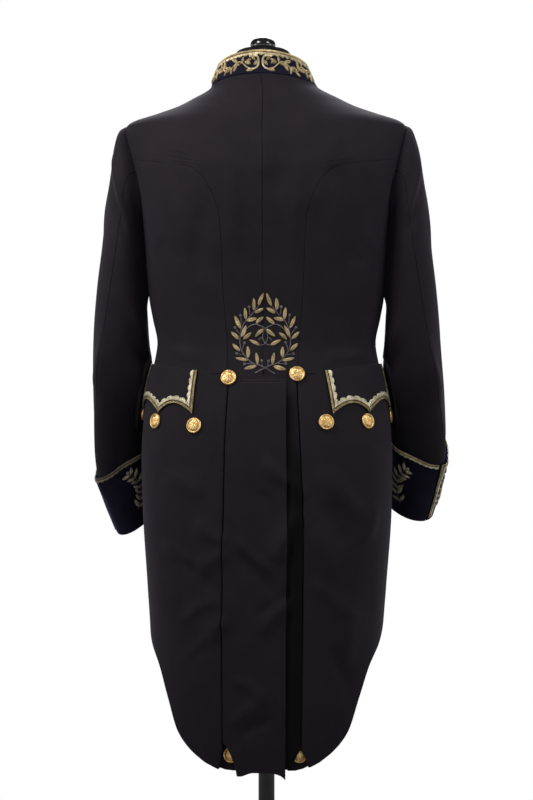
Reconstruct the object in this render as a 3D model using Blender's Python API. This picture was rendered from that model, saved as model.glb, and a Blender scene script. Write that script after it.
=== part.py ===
"""A court uniform tailcoat worn by a limbless dress form on its stand.

Metres, +Z up, the floor at Z = 0 under the middle of the stand. The wearer's back faces -Y and the wearer's
right side is +X. The coat is cut as a tailor cuts it: two backs that run on into the back skirts, two side
bodies, two foreparts, two pleated skirts, a stand collar, two-piece sleeves, turned-back cuffs and pocket
flaps.
"""
import math

import bmesh
import bpy
from mathutils import Vector
from mathutils.bvhtree import BVHTree

# Driving sizes
CLOTH = 0.002
VELVET = 0.0026
SEAM_TRIM = 0.0002
LAYER_GAP = 0.0006
BUTTON_RADIUS = 0.012
COLLAR_HEIGHT = 0.037
COLLAR_FRONT_DROP = 0.004
COLLAR_FRONT_GAP = 0.024
COLLAR_CORNER_FROM = math.radians(166)
COLLAR_CORNER_DROP = 0.008
NAPE_HEIGHT = 1.488
THROAT_HEIGHT = 1.456
WAIST_HEIGHT = 1.026
WAIST_RISE_AT_SIDE = 0.0225
SKIRT_DROP = 0.0004
HEM_HEIGHT = 0.430

# Half the coat's outer section at each height above the floor
BODY_COLUMNS = "height half_width back front squareness"
BODY_ROWS = (
    (0.400, 0.1760, 0.159, 0.140, 2.30),
    (0.630, 0.1800, 0.157, 0.142, 2.30),
    (0.700, 0.1845, 0.155, 0.143, 2.32),
    (0.820, 0.1925, 0.151, 0.144, 2.38),
    (0.900, 0.1940, 0.147, 0.143, 2.40),
    (0.960, 0.1905, 0.139, 0.139, 2.40),
    (1.000, 0.1855, 0.129, 0.131, 2.40),
    (1.030, 0.1790, 0.119, 0.124, 2.40),
    (1.053, 0.1725, 0.112, 0.120, 2.40),
    (1.078, 0.1690, 0.109, 0.117, 2.35),
    (1.115, 0.1760, 0.110, 0.119, 2.30),
    (1.145, 0.1815, 0.113, 0.122, 2.33),
    (1.180, 0.1855, 0.117, 0.125, 2.35),
    (1.250, 0.1905, 0.125, 0.128, 2.40),
    (1.300, 0.1990, 0.129, 0.126, 2.35),
    (1.340, 0.2095, 0.1285, 0.119, 2.20),
    (1.376, 0.2170, 0.122, 0.106, 2.00),
    (1.401, 0.2190, 0.114, 0.093, 1.85),
    (1.414, 0.2160, 0.109, 0.085, 1.80),
    (1.421, 0.2075, 0.106, 0.081, 1.78),
    (1.433, 0.1710, 0.101, 0.076, 1.75),
    (1.4455, 0.1355, 0.096, 0.072, 1.75),
    (1.458, 0.1105, 0.090, 0.069, 1.80),
    (1.467, 0.0925, 0.086, 0.067, 1.88),
    (1.474, 0.0825, 0.0825, 0.066, 1.95),
    (1.488, 0.0765, 0.0780, 0.064, 2.00),
    (1.517, 0.0665, 0.0720, 0.059, 2.00),
    (1.540, 0.0630, 0.0690, 0.056, 2.00),
)

# How far the dress form lies inside the coat's outer face
FORM_COLUMNS = "height inset"
FORM_ROWS = (
    (0.860, 0.025),
    (0.960, 0.023),
    (1.000, 0.021),
    (1.045, 0.018),
    (1.080, 0.014),
    (1.180, 0.012),
    (1.336, 0.0135),
    (1.376, 0.0120),
    (1.406, 0.0065),
    (1.428, 0.0038),
    (1.458, 0.0036),
    (1.474, 0.0065),
    (1.488, 0.0085),
    (1.540, 0.0085),
)
FORM_FRONT_EXTRA = 0.0035
FORM_BOTTOM = 0.860
FORM_TOP = 1.518
FORM_EDGE_ROUND = 0.004
FORM_HEIGHTS = (
    FORM_BOTTOM, 0.866, 0.900, 0.950, 1.000, 1.045, 1.080, 1.120, 1.180, 1.250, 1.300, 1.340, 1.375,
    1.398, 1.412, 1.425, 1.438, 1.450, 1.462, 1.472, 1.484, 1.500, 1.514, FORM_TOP,
)
FORM_COLS = 24
ARM_PLATE = 0.186

# The armhole: its middle height, half height, and how far it cuts round the ring to the back and front
ARMHOLE_HEIGHT = 1.331
ARMHOLE_HALF = 0.083
ARMHOLE_BACK_DEG = 19.0
ARMHOLE_FRONT_DEG = 21.0
SIDE_BACK_AT_ARMHOLE_DEG = 111.0

# The curved seam between back and side body, up from the waist button: (height, distance from the middle)
SIDE_BACK_ROWS = (
    (1.026, 0.0515),
    (1.072, 0.0540),
    (1.120, 0.0575),
    (1.180, 0.0615),
    (1.228, 0.0630),
    (1.270, 0.0660),
    (1.299, 0.0755),
    (1.326, 0.0900),
    (1.344, 0.1120),
    (1.354, 0.1450),
)
SIDE_BACK_FOOT = 0.0519

# The pleat line down the back skirt, and the heights that the skirt's rows stand at
PLEAT_COLUMNS = "height from_centre"
PLEAT_ROWS = (
    (0.430, 0.0580),
    (0.480, 0.0590),
    (0.725, 0.0608),
    (0.900, 0.0575),
    (1.026, 0.0512),
)
SKIRT_HEIGHTS = (0.430, 0.460, 0.505, 0.570, 0.650, 0.730, 0.810, 0.880, 0.930, 0.963, 0.987, 1.007, 1.026)

# The pleat's cloth from its inner end under the back skirt, round two folds, to the outer face:
# (along, depth)
PLEAT_FOLD_ROWS = (
    (-0.0310, 0.0130),
    (0.0120, 0.0130),
    (0.0285, 0.0126),
    (0.0325, 0.0094),
    (0.0285, 0.0060),
    (0.0100, 0.0055),
    (0.0020, 0.0052),
    (0.0000, 0.0031),
    (0.0022, 0.0011),
    (0.0120, 0.0010),
)
PLEAT_DEPTH_AT_WAIST = 0.62
PLEAT_DEPTH_AT_HEM = 1.15
PLEAT_LINE_GAP = 0.0030
PLEAT_NOSE = 0.0085
PLEAT_CUT_TOP = 0.520
# How far the back's edge and the skirt's draw apart
PLEAT_MOUTH_AT_HEM = {"left": (0.0200, 0.0060), "right": (0.0130, 0.0130)}
PLEAT_MOUTH_HEIGHT = 0.034

# The cut-away front edge of each skirt, up from the hem: (turn round the ring in degrees, height)
FRONT_EDGE_ROWS = (
    (25.8, 0.4465),
    (34.5, 0.4630),
    (44.0, 0.4900),
    (52.5, 0.5390),
    (62.5, 0.5880),
    (78.0, 0.6230),
    (93.0, 0.6570),
    (105.0, 0.7050),
    (120.0, 0.7600),
    (133.0, 0.8280),
    (145.0, 0.9000),
    (155.0, 0.9680),
    (164.0, 1.0345),
)

# The hem, by distance from the middle towards the piece's own side; below zero it is the vent's lap
HEM_COLUMNS = "from_centre height"
HEM_ROWS = {
    "left": (
        (-0.036, 0.4210), (-0.028, 0.4275), (-0.012, 0.4315), (0.013, 0.4315), (0.033, 0.4260),
        (0.0505, 0.4305),
    ),
    "right": ((-0.014, 0.4370), (0.036, 0.4385), (0.056, 0.4365)),
    "skirt": (
        (0.0540, 0.4335), (0.0660, 0.4365), (0.0770, 0.4415), (0.0863, 0.4465), (0.1074, 0.4630),
        (0.1285, 0.4900),
    ),
}

# The vent: the left back skirt laps over the right one below the tack
VENT_LAP = 0.036
VENT_UNDERLAP = 0.014
VENT_TOP = 1.0200
FRONT_LAP = 0.018
FRONT_UNDERLAP = 0.010
FRONT_STEP = (0.025, 0.035)
UNDER_DEPTH = 0.0030
BACK_STEP = (0.040, 0.048)
BACK_STEP_END = (1.031, 1.043)

# Sleeve rings, from the sleeve head to the wrist, for the right sleeve
SLEEVE_COLUMNS = "inner_x inner_z outer_x outer_z half_depth centre_y bend_deg"
SLEEVE_ROWS = (
    (0.1915, 1.2400, 0.2280, 1.4095, 0.0590, 0.002, 0.0),
    (0.1905, 1.2320, 0.2360, 1.3810, 0.0615, 0.002, 0.0),
    (0.1895, 1.2160, 0.2425, 1.3360, 0.0635, 0.001, 0.0),
    (0.1885, 1.1930, 0.2485, 1.2860, 0.0645, 0.000, 0.0),
    (0.1870, 1.1600, 0.2555, 1.2230, 0.0640, -0.002, 0.0),
    (0.1845, 1.1200, 0.2630, 1.1600, 0.0640, -0.002, 1.0),
    (0.1817, 1.0750, 0.2688, 1.0950, 0.0650, 0.004, 5.0),
    (0.1760, 1.0300, 0.2715, 1.0350, 0.0660, 0.016, 11.0),
    (0.1800, 0.9870, 0.2725, 0.9820, 0.0650, 0.036, 17.0),
    (0.1870, 0.9470, 0.2725, 0.9310, 0.0630, 0.060, 22.0),
    (0.1890, 0.9080, 0.2700, 0.8840, 0.0595, 0.084, 25.0),
    (0.1855, 0.8700, 0.2600, 0.8360, 0.0560, 0.106, 26.0),
    (0.1790, 0.8320, 0.2440, 0.7880, 0.0520, 0.127, 26.0),
)
HIND_SEAM_DEG = 84.0
HIND_SEAM_TWIST_DEG = 52.0
TWIST_RINGS = (2.0, 12.0)
FORE_SEAM_DEG = 250.0
# The right forearm hangs a little higher and further out than the left one
# (inner edge, outer edge)
SLEEVE_RAISE = {"left": (0.0, 0.0), "right": (0.010, 0.026)}
SLEEVE_OUT = {"left": 0.0, "right": 0.005}
WRIST_OUT = {"left": 0.0, "right": 0.006}
RAISE_STARTS_AT_RING = 7.0
# How far a sleeve keeps from the coat's side, and what the flap and its third button add to that
ARM_ROOM = 0.0014
ARM_SOFT = 0.0016
FLAP_ROOM = 0.0032
BUTTON_ROOM = 0.0062
FLAP_ZONE_TOP = (1.062, 1.050)
FLAP_ZONE_FOOT = (0.930, 0.945)
BUTTON_ZONE = (0.040, 0.020)
CUFF_TOP_RING = {"left": 10.40, "right": 10.30}
CUFF_TOP_DROP = {"left": 0.70, "right": 0.60}
CUFF_LOWEST_DEG = {"left": 10.0, "right": 32.0}
CUFF_FLARE = 0.0020
CUFF_GAP = 0.0009
CUFF_SLIT_DEG = 1.6
# How far each cuff's opening is turned to the back from the sleeve's hind seam
CUFF_OPENING_TURN_DEG = {"left": -9.0, "right": 9.5}
CUFF_OVERHANG = 0.0010

# Pocket flap: three points joined by scallops, under the waist seam
FLAP_REAR_X = {"left": 0.0988, "right": 0.0924}
FLAP_POINT_TURNS_DEG = (29.7, 54.0, 87.0)
FLAP_POINT_HEIGHTS = (0.968, 0.971, 0.980)
FLAP_TOP_DROP = 0.003
FLAP_SCALLOP_RISE = 0.0155
FLAP_FRONT_SLANT = 0.02
FLAP_THICK = 0.0022

# Buttons
WAIST_BUTTON_HEIGHTS = {"left": 1.0235, "right": 1.0290}
WAIST_BUTTON_X = 0.0515
TAIL_BUTTON_HEIGHT = 0.4572
TAIL_BUTTON_X = {"left": 0.0486, "right": 0.0590}
# (turn round the ring in degrees, height)
FLAP_BUTTON_ROWS = {
    "left": ((28.5, 0.9515), (57.0, 0.9580), (90.0, 0.9700)),
    "right": ((25.9, 0.9568), (52.4, 0.9580), (89.5, 0.9666)),
}
FRONT_BUTTONS = 9
FRONT_BUTTON_LOW = 1.080
FRONT_BUTTON_HIGH = 1.428

# Dress form's fittings and stand
CAP_RADIUS = 0.0440
CAP_THICK = 0.0175
FINIAL_RADIUS = 0.0198
FINIAL_TALL = 0.0176
FLANGE_RADIUS = 0.060
POLE_RADIUS = 0.0125
BASE_RADIUS = 0.190
BASE_THICK = 0.012
TOUCH = 0.0003

# The coat hangs a little off the middle line: sideways shift at each height
SETTLE_COLUMNS = "height shift"
SETTLE_ROWS = (
    (0.42, -0.0002), (0.60, 0.0002), (0.80, 0.0015), (1.00, 0.0), (1.36, 0.0), (1.40, -0.0015),
    (1.44, -0.0010), (1.462, -0.0015), (1.485, -0.0055),
)

SIDES = {"left": -1.0, "right": 1.0}

# Heights on the middle lines that are level with the armhole's ends
BACK_BREAKS = (1.378, 1.416)
FRONT_BREAKS = (1.235, 1.395)

# How finely each panel is divided
BACK_COLS = 7
SEAM_ROWS = 9
BACK_ARMHOLE_ROWS = 3
SHOULDER_ROWS = 5
FRONT_COLS = 10
SIDE_ROWS = 6
FRONT_ARMHOLE_ROWS = 7
SIDE_BODY_COLS = 7
SKIRT_COLS = 11
FLAP_SCALLOP_COLS = 7
FLAP_ROWS = 3
COLLAR_COLS = 30
COLLAR_ROWS = 2
CUFF_COLS = 18
CUFF_ROWS = 3
SLEEVE_COLS = 9
SLEEVE_RINGS = (0.0, 0.5, 1.0, 2.0, 3.0, 4.0, 5.0, 6.0, 7.0, 8.0, 9.0, 10.0, 11.0, 12.0, 13.0)


def material(name, colour, roughness, metallic=0.0):
    """A plain Principled material in the part's colour."""
    made = bpy.data.materials.new(name)
    made.use_nodes = True
    shader = made.node_tree.nodes["Principled BSDF"]
    shader.inputs["Base Color"].default_value = (*colour, 1.0)
    shader.inputs["Roughness"].default_value = roughness
    shader.inputs["Metallic"].default_value = metallic
    return made


class Curve:
    """A table's columns read at any place along its first column, by monotone cubics."""

    def __init__(self, columns, rows):
        names = columns.split()
        self.keys = [row[0] for row in rows]
        self.columns = {name: [row[k] for row in rows] for k, name in enumerate(names)}
        self.slopes = {name: self.monotone(self.columns[name]) for name in names}

    def monotone(self, values):
        steps = [b - a for a, b in zip(self.keys, self.keys[1:])]
        rises = [(b - a) / step for a, b, step in zip(values, values[1:], steps)]
        slopes = [rises[0]]
        for before, after in zip(rises, rises[1:]):
            level = before * after <= 0.0
            slopes.append(0.0 if level else 2.0 * before * after / (before + after))
        return slopes + [rises[-1]]

    def at(self, key, name):
        key = min(max(key, self.keys[0]), self.keys[-1])
        k = 0
        while k < len(self.keys) - 2 and key > self.keys[k + 1]:
            k += 1
        step = self.keys[k + 1] - self.keys[k]
        t = (key - self.keys[k]) / step
        low, high = self.columns[name][k], self.columns[name][k + 1]
        low_slope, high_slope = self.slopes[name][k] * step, self.slopes[name][k + 1] * step
        return (
            low * (1 + 2 * t) * (1 - t) ** 2
            + low_slope * t * (1 - t) ** 2
            + high * t * t * (3 - 2 * t)
            + high_slope * t * t * (t - 1)
        )


def numbered(columns, rows):
    """The same kind of curve, read by row number."""
    return Curve("ring " + columns, [(float(k), *row) for k, row in enumerate(rows)])


BODY = Curve(BODY_COLUMNS, BODY_ROWS)
FORM = Curve(FORM_COLUMNS, FORM_ROWS)
PLEAT = Curve(PLEAT_COLUMNS, PLEAT_ROWS)
SLEEVE = numbered(SLEEVE_COLUMNS, SLEEVE_ROWS)
SETTLE = Curve(SETTLE_COLUMNS, SETTLE_ROWS)
HEM = {part: Curve(HEM_COLUMNS, rows) for part, rows in HEM_ROWS.items()}


def ease(low, high, value):
    """0 below low, 1 above high, smooth between."""
    t = min(max((value - low) / (high - low), 0.0), 1.0)
    return t * t * (3.0 - 2.0 * t)


def signed_power(value, power):
    return math.copysign(abs(value) ** power, value)


def body_point(turn, height):
    """The coat's outer face. turn is 0 at the middle of the back, 90 degrees at the right side."""
    power = 2.0 / BODY.at(height, "squareness")
    across, along = math.sin(turn), math.cos(turn)
    depth = BODY.at(height, "back" if along > 0.0 else "front")
    return Vector((
        BODY.at(height, "half_width") * signed_power(across, power),
        -depth * signed_power(along, power),
        height,
    ))


def body_frame(turn, height):
    """The unit direction round the ring and the outward normal at a point of the coat."""
    step_turn, step_height = 0.004, 0.0015
    # The middle lines are read a little to each side, where the section's slope is finite
    around = body_point(turn + step_turn, height) - body_point(turn - step_turn, height)
    rise = body_point(turn, height + step_height) - body_point(turn, height - step_height)
    around.normalize()
    return around, around.cross(rise).normalized()


def on_body(turn, height, lift=0.0):
    """A point that far outside the coat's outer face, with the way that face looks."""
    _, outward = body_frame(turn, height)
    return body_point(turn, height) + outward * lift, outward


def turn_at(from_centre, height):
    """The turn at which the coat is that far from its middle line, as seen from behind."""
    share = abs(from_centre) / BODY.at(height, "half_width")
    angle = math.asin(min(share, 1.0) ** (BODY.at(height, "squareness") / 2.0))
    return math.copysign(angle, from_centre)


def front_turn_at(from_centre, height):
    """The same on the front, measured on past 180 degrees for a negative distance."""
    return math.pi - turn_at(from_centre, height)


def armhole(around):
    """Turn and height on the armhole seam. around is 0 at the armpit and pi at the tip, over the back."""
    cut = math.radians(ARMHOLE_BACK_DEG if math.sin(around) > 0.0 else ARMHOLE_FRONT_DEG)
    return math.pi / 2 - cut * math.sin(around), ARMHOLE_HEIGHT - ARMHOLE_HALF * math.cos(around)


def neckline(turn):
    """Height of the collar seam."""
    return (NAPE_HEIGHT + THROAT_HEIGHT) / 2 + (NAPE_HEIGHT - THROAT_HEIGHT) / 2 * math.cos(turn)


def waistline(turn):
    """Height of the waist seam."""
    power = 1.0 if math.cos(turn) > 0.0 else 1.5
    return WAIST_HEIGHT + WAIST_RISE_AT_SIDE * abs(math.sin(turn)) ** power


def spaced(start, end, count):
    """count + 1 places from start to end."""
    return [start + (end - start) * k / count for k in range(count + 1)]


def coons(left, right, bottom, top, shares=None):
    """A grid of (turn, height) places inside four edges. left and right run up, bottom and top run across.

    shares gives how far across each column stands, when the columns aren't evenly spaced.
    """
    rows = []
    shares = shares or spaced(0.0, 1.0, len(bottom) - 1)
    for j, (a, b) in enumerate(zip(left, right)):
        v = j / (len(left) - 1)
        row = []
        for u, c, d in zip(shares, bottom, top):
            row.append(tuple(
                (1 - u) * a[k] + u * b[k] + (1 - v) * c[k] + v * d[k]
                - (1 - u) * (1 - v) * bottom[0][k] - u * (1 - v) * bottom[-1][k]
                - (1 - u) * v * top[0][k] - u * v * top[-1][k]
                for k in (0, 1)
            ))
        rows.append(row)
    return rows


def trimmed(grid):
    """Moves a panel's edges in by the seam's trim. Each entry of the grid is (point, facing)."""
    last_row, last_col = len(grid) - 1, len(grid[0]) - 1
    result = []
    for j, row in enumerate(grid):
        moved_row = []
        for i, (point, facing) in enumerate(row):
            moved = point.copy()
            inner = []
            if i in (0, last_col):
                inner.append(row[1] if i == 0 else row[last_col - 1])
            if j in (0, last_row):
                inner.append(grid[1][i] if j == 0 else grid[last_row - 1][i])
            for neighbour, _ in inner:
                moved += (neighbour - point).normalized() * SEAM_TRIM
            moved_row.append((moved, facing))
        result.append(moved_row)
    return result


def finish(name, bm, finish_material, smooth_deg=40.0):
    """Makes the bmesh an object in the scene, shaded smooth between its sharp edges."""
    mesh = bpy.data.meshes.new(name)
    bm.to_mesh(mesh)
    bm.free()
    mesh.materials.append(finish_material)
    mesh.shade_smooth()
    mesh.set_sharp_from_angle(angle=math.radians(smooth_deg))
    made = bpy.data.objects.new(name, mesh)
    bpy.context.scene.collection.objects.link(made)
    return made


def face_outwards(bm):
    """Turns every face of a closed mesh to look out of it."""
    bmesh.ops.recalc_face_normals(bm, faces=bm.faces)
    if bm.calc_volume(signed=True) < 0.0:
        bmesh.ops.reverse_faces(bm, faces=bm.faces)


def settled(point, mirror=1.0):
    """A point of the right-hand half put on its own side, and shifted as the coat hangs."""
    return Vector((point.x * mirror + SETTLE.at(point.z, "shift"), point.y, point.z))


def numbered_grid(bm, cols, rows):
    """A grid whose vertices know their column and row."""
    across, up = bm.verts.layers.int.new("across"), bm.verts.layers.int.new("up")
    for vert in bmesh.ops.create_grid(bm, x_segments=cols, y_segments=rows, size=0.5)["verts"]:
        vert[across] = round((vert.co.x + 0.5) * cols)
        vert[up] = round((vert.co.y + 0.5) * rows)
    return across, up


def cloth(name, grid, thickness, finish_material, mirror=1.0):
    """A wall of cloth: the grid's points are its middle, and each faces the way it looks."""
    bm = bmesh.new()
    across, up = numbered_grid(bm, len(grid[0]) - 1, len(grid) - 1)
    outer = set(bm.verts)
    bmesh.ops.extrude_face_region(bm, geom=bm.faces[:], use_keep_orig=True)
    for vert in bm.verts:
        point, facing = grid[vert[up]][vert[across]]
        side = 0.5 if vert in outer else -0.5
        vert.co = settled(point + facing * thickness * side, mirror)
    face_outwards(bm)
    return finish(name, bm, finish_material)


def turned(name, profile, segments, finish_material):
    """A turned solid. The profile runs from the axis, out and up, and back to the axis."""
    bm = bmesh.new()
    verts = [bm.verts.new((radius, 0.0, height)) for radius, height in profile]
    edges = [bm.edges.new(pair) for pair in zip(verts, verts[1:])]
    bmesh.ops.spin(
        bm, geom=verts + edges, axis=(0, 0, 1), cent=(0, 0, 0),
        angle=2 * math.pi, steps=segments, use_merge=True,
    )
    bmesh.ops.remove_doubles(bm, verts=bm.verts, dist=1e-6)
    face_outwards(bm)
    return finish(name, bm, finish_material, 30.0)


def panel(name, places, side, finish_material, lift=None):
    """A body panel from (turn, height) places. lift gives how far its outer face stands off the coat's."""
    grid = []
    for row in places:
        grid.append([
            on_body(turn, height, (lift(turn, height) if lift else 0.0) - CLOTH / 2)
            for turn, height in row
        ])
    return cloth(name, trimmed(grid), CLOTH, finish_material, SIDES[side])


def side_back_seam():
    """Places up the curved seam, from the waist to the armhole."""
    join = armhole(math.radians(SIDE_BACK_AT_ARMHOLE_DEG))
    places = [(turn_at(x, z), z) for z, x in SIDE_BACK_ROWS]
    places[-1] = tuple((a + b) / 2 for a, b in zip(places[-1], join))
    return places[:SEAM_ROWS] + [join]


def shoulder_seam():
    """Places from the tip to the neck, along the ridge."""
    low = ARMHOLE_HEIGHT + ARMHOLE_HALF
    return [(math.pi / 2, z) for z in spaced(low, neckline(math.pi / 2), SHOULDER_ROWS)]


def back_panel(side, finish_material):
    """One back, from the nape to the hem, with its half of the vent."""
    over = side == "left"
    lap = -VENT_LAP if over else -VENT_UNDERLAP
    mouth = PLEAT_MOUTH_AT_HEM[side][0]

    skirt_left = [(turn_at(lap, z), z) for z in SKIRT_HEIGHTS[:-1]] + [(turn_at(lap, VENT_TOP), VENT_TOP)]
    skirt_right = [
        (turn_at(PLEAT.at(z, "from_centre") - pleat_mouth(z, mouth), z) - PLEAT_LINE_GAP, z)
        for z in (*SKIRT_HEIGHTS[:-1], VENT_TOP)
    ]

    seam = side_back_seam()
    start = math.radians(SIDE_BACK_AT_ARMHOLE_DEG)
    arm = [armhole(a) for a in spaced(start, math.pi, BACK_ARMHOLE_ROWS)][1:]
    right = seam + arm + shoulder_seam()[1:]
    centre_heights = (
        spaced(WAIST_HEIGHT, BACK_BREAKS[0], SEAM_ROWS)
        + spaced(*BACK_BREAKS, BACK_ARMHOLE_ROWS)[1:]
        + spaced(BACK_BREAKS[1], NAPE_HEIGHT, SHOULDER_ROWS)[1:]
    )
    left = [(0.0, z) for z in centre_heights]

    left, right = skirt_left + left, skirt_right + right
    bottom = [
        (turn, HEM[side].at(body_point(turn, HEM_HEIGHT).x, "height"))
        for turn in spaced(left[0][0], right[0][0], BACK_COLS)
    ]
    left[0], right[0] = bottom[0], bottom[-1]
    top = [(turn, neckline(turn)) for turn in spaced(0.0, math.pi / 2, BACK_COLS)]
    places = coons(left, right, bottom, top)
    if over:
        return panel("back_left", places, side, finish_material)

    def under(turn, height):
        x = body_point(turn, height).x
        return -UNDER_DEPTH * (1 - ease(*BACK_STEP, x)) * (1 - ease(*BACK_STEP_END, height))

    return panel("back_right", places, side, finish_material, under)


def pleat_mouth(height, at_hem):
    """How far the pleat stands open to one side, near the hem."""
    shut = min(max((height - HEM_HEIGHT) / PLEAT_MOUTH_HEIGHT, 0.0), 1.0)
    return at_hem * (1 - shut) ** 0.55


def side_body(side, finish_material):
    """The panel between the curved back seam and the side seam."""
    left = side_back_seam()
    start = math.radians(SIDE_BACK_AT_ARMHOLE_DEG)
    low, high = waistline(math.pi / 2), ARMHOLE_HEIGHT - ARMHOLE_HALF
    right = [(math.pi / 2, z) for z in spaced(low, high, SEAM_ROWS)]
    corner = turn_at(SIDE_BACK_FOOT, waistline(left[0][0]))
    bottom = [(turn, waistline(turn)) for turn in spaced(corner, math.pi / 2, SIDE_BODY_COLS)]
    left[0] = bottom[0]
    top = [armhole(a) for a in spaced(start, 0.0, SIDE_BODY_COLS)]
    return panel("side_body_" + side, coons(left, right, bottom, top), side, finish_material)


def front_turns(height, lap):
    """Turns from the side seam to the front edge, with a column each side of the step under the lap."""
    near, far = FRONT_STEP
    return spaced(math.pi / 2, front_turn_at(far, height), FRONT_COLS - 3) + [
        front_turn_at(near, height), front_turn_at((near + lap) / 2, height), front_turn_at(lap, height),
    ]


def forepart(side, finish_material):
    """One front, closed to the throat, the left lapping over the right."""
    over = side == "left"
    lap = -FRONT_LAP if over else -FRONT_UNDERLAP
    arm = [armhole(2 * math.pi - a) for a in spaced(0.0, math.pi, FRONT_ARMHOLE_ROWS)]
    seam = [(math.pi / 2, z) for z in spaced(waistline(math.pi / 2), arm[0][1], SIDE_ROWS)]
    left = seam + arm[1:] + shoulder_seam()[1:]
    low, high = waistline(math.pi), neckline(math.pi)
    right = [(front_turn_at(lap, z), z) for z in (
        spaced(low, FRONT_BREAKS[0], SIDE_ROWS)
        + spaced(*FRONT_BREAKS, FRONT_ARMHOLE_ROWS)[1:]
        + spaced(FRONT_BREAKS[1], high, SHOULDER_ROWS)[1:]
    )]
    bottom_turns = front_turns(low, lap)
    top_turns = front_turns(high, lap)
    shares = [(turn - bottom_turns[0]) / (bottom_turns[-1] - bottom_turns[0]) for turn in bottom_turns]
    bottom = [(turn, waistline(turn)) for turn in bottom_turns]
    top = [(turn, neckline(turn)) for turn in top_turns]
    places = coons(left, right, bottom, top, shares)
    if over:
        return panel("forepart_left", places, side, finish_material)

    def under(turn, height):
        x = body_point(turn, height).x
        return -UNDER_DEPTH * (1 - ease(*FRONT_STEP, x))

    return panel("forepart_right", places, side, finish_material, under)


def pleat_depth(depth, height):
    """A depth from the fold's table as it is at that height: the pleat is pressed flatter at the waist."""
    share = ease(HEM_HEIGHT, WAIST_HEIGHT, height)
    deep = PLEAT_DEPTH_AT_HEM + (PLEAT_DEPTH_AT_WAIST - PLEAT_DEPTH_AT_HEM) * share
    return CLOTH / 2 + (depth - CLOTH / 2) * deep


def pleat_rows(height):
    """The folded pleat at one height, each place as (along the ring, depth, and the cloth's two facings)."""
    points = [(along, pleat_depth(depth, height)) for along, depth in PLEAT_FOLD_ROWS]
    found = []
    for k, (along, depth) in enumerate(points):
        before, after = points[max(k - 1, 0)], points[min(k + 1, len(points) - 1)]
        across, down = after[0] - before[0], after[1] - before[1]
        length = math.hypot(across, down)
        # Turning the run of the fold a quarter gives the way that the outer face looks
        found.append((along, depth, down / length, across / length))
    return found


def fold_height(turn, height):
    """A height in the folded pleat, whose foot is cut to the hem's curve."""
    level = HEM["skirt"].at(PLEAT_ROWS[0][1], "height")
    foot = HEM["skirt"].at(body_point(turn, HEM_HEIGHT).x, "height")
    return height + (foot - level) * (1 - ease(level, PLEAT_CUT_TOP, height))


def skirt(side, finish_material):
    """One skirt, from its pleat round the hip to the cut-away front edge."""
    rows = len(SKIRT_HEIGHTS) - 1
    mouth = PLEAT_MOUTH_AT_HEM[side][1]
    line = []
    for z in SKIRT_HEIGHTS:
        x = PLEAT.at(z, "from_centre") + pleat_mouth(z, mouth)
        line.append((turn_at(x, z) + PLEAT_NOSE, z))
    edge = [(math.radians(turn), z) for turn, z in FRONT_EDGE_ROWS]
    fold_end = PLEAT_FOLD_ROWS[-1][0]
    left = []
    for turn, z in line:
        at = turn + fold_end / round_rate(turn, z)
        left.append((at, fold_height(at, z)))
    bottom = [
        (turn, HEM["skirt"].at(body_point(turn, HEM_HEIGHT).x, "height"))
        for turn in spaced(left[0][0], edge[0][0], SKIRT_COLS)
    ]
    line[0] = (line[0][0], HEM["skirt"].at(PLEAT_ROWS[0][1], "height"))
    left[0], bottom[-1] = bottom[0], edge[0]
    top = [(turn, waistline(turn) - SKIRT_DROP) for turn in spaced(left[-1][0], edge[-1][0], SKIRT_COLS)]
    left[-1], edge[-1] = top[0], top[-1]
    places = coons(left, edge, bottom, top)
    grid = []
    for j in range(rows + 1):
        turn, z = line[j]
        rate = round_rate(turn, z)
        row = []
        for along, depth, tilt_around, tilt_out in pleat_rows(z)[:-1]:
            at = turn + along / rate
            height = fold_height(at, z)
            around, outward = body_frame(at, height)
            facing = around * tilt_around + outward * tilt_out
            row.append((body_point(at, height) - outward * depth, facing))
        row += [on_body(a, h, -CLOTH / 2) for a, h in places[j]]
        grid.append(row)
    return cloth("skirt_" + side, trimmed(grid), CLOTH, finish_material, SIDES[side])


def round_rate(turn, height):
    """Metres round the ring for each radian of turn."""
    step = 0.01
    return (body_point(turn + step, height) - body_point(turn - step, height)).length / (2 * step)


def flap(side, finish_material):
    """The pocket flap, lying on the skirt."""
    points = [(math.radians(deg), z) for deg, z in zip(FLAP_POINT_TURNS_DEG, FLAP_POINT_HEIGHTS)]
    low = []
    for (a, a_height), (b, b_height) in zip(points, points[1:]):
        for t in spaced(0.0, 1.0, FLAP_SCALLOP_COLS)[:-1]:
            rise = FLAP_SCALLOP_RISE * math.sin(math.pi * t) ** 0.8
            low.append((a + (b - a) * t, a_height + (b_height - a_height) * t + rise))
    low.append(points[-1])
    rear = turn_at(FLAP_REAR_X[side], waistline(points[0][0]))
    high = [
        (turn, waistline(turn) - FLAP_TOP_DROP)
        for turn in spaced(rear, points[-1][0] + FLAP_FRONT_SLANT, len(low) - 1)
    ]
    lift = LAYER_GAP + FLAP_THICK / 2
    grid = [
        [
            on_body(a + (c - a) * v, b + (d - b) * v, lift)
            for (a, b), (c, d) in zip(low, high)
        ]
        for v in spaced(0.0, 1.0, FLAP_ROWS)
    ]
    return cloth("flap_" + side, grid, FLAP_THICK, finish_material, SIDES[side])


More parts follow.
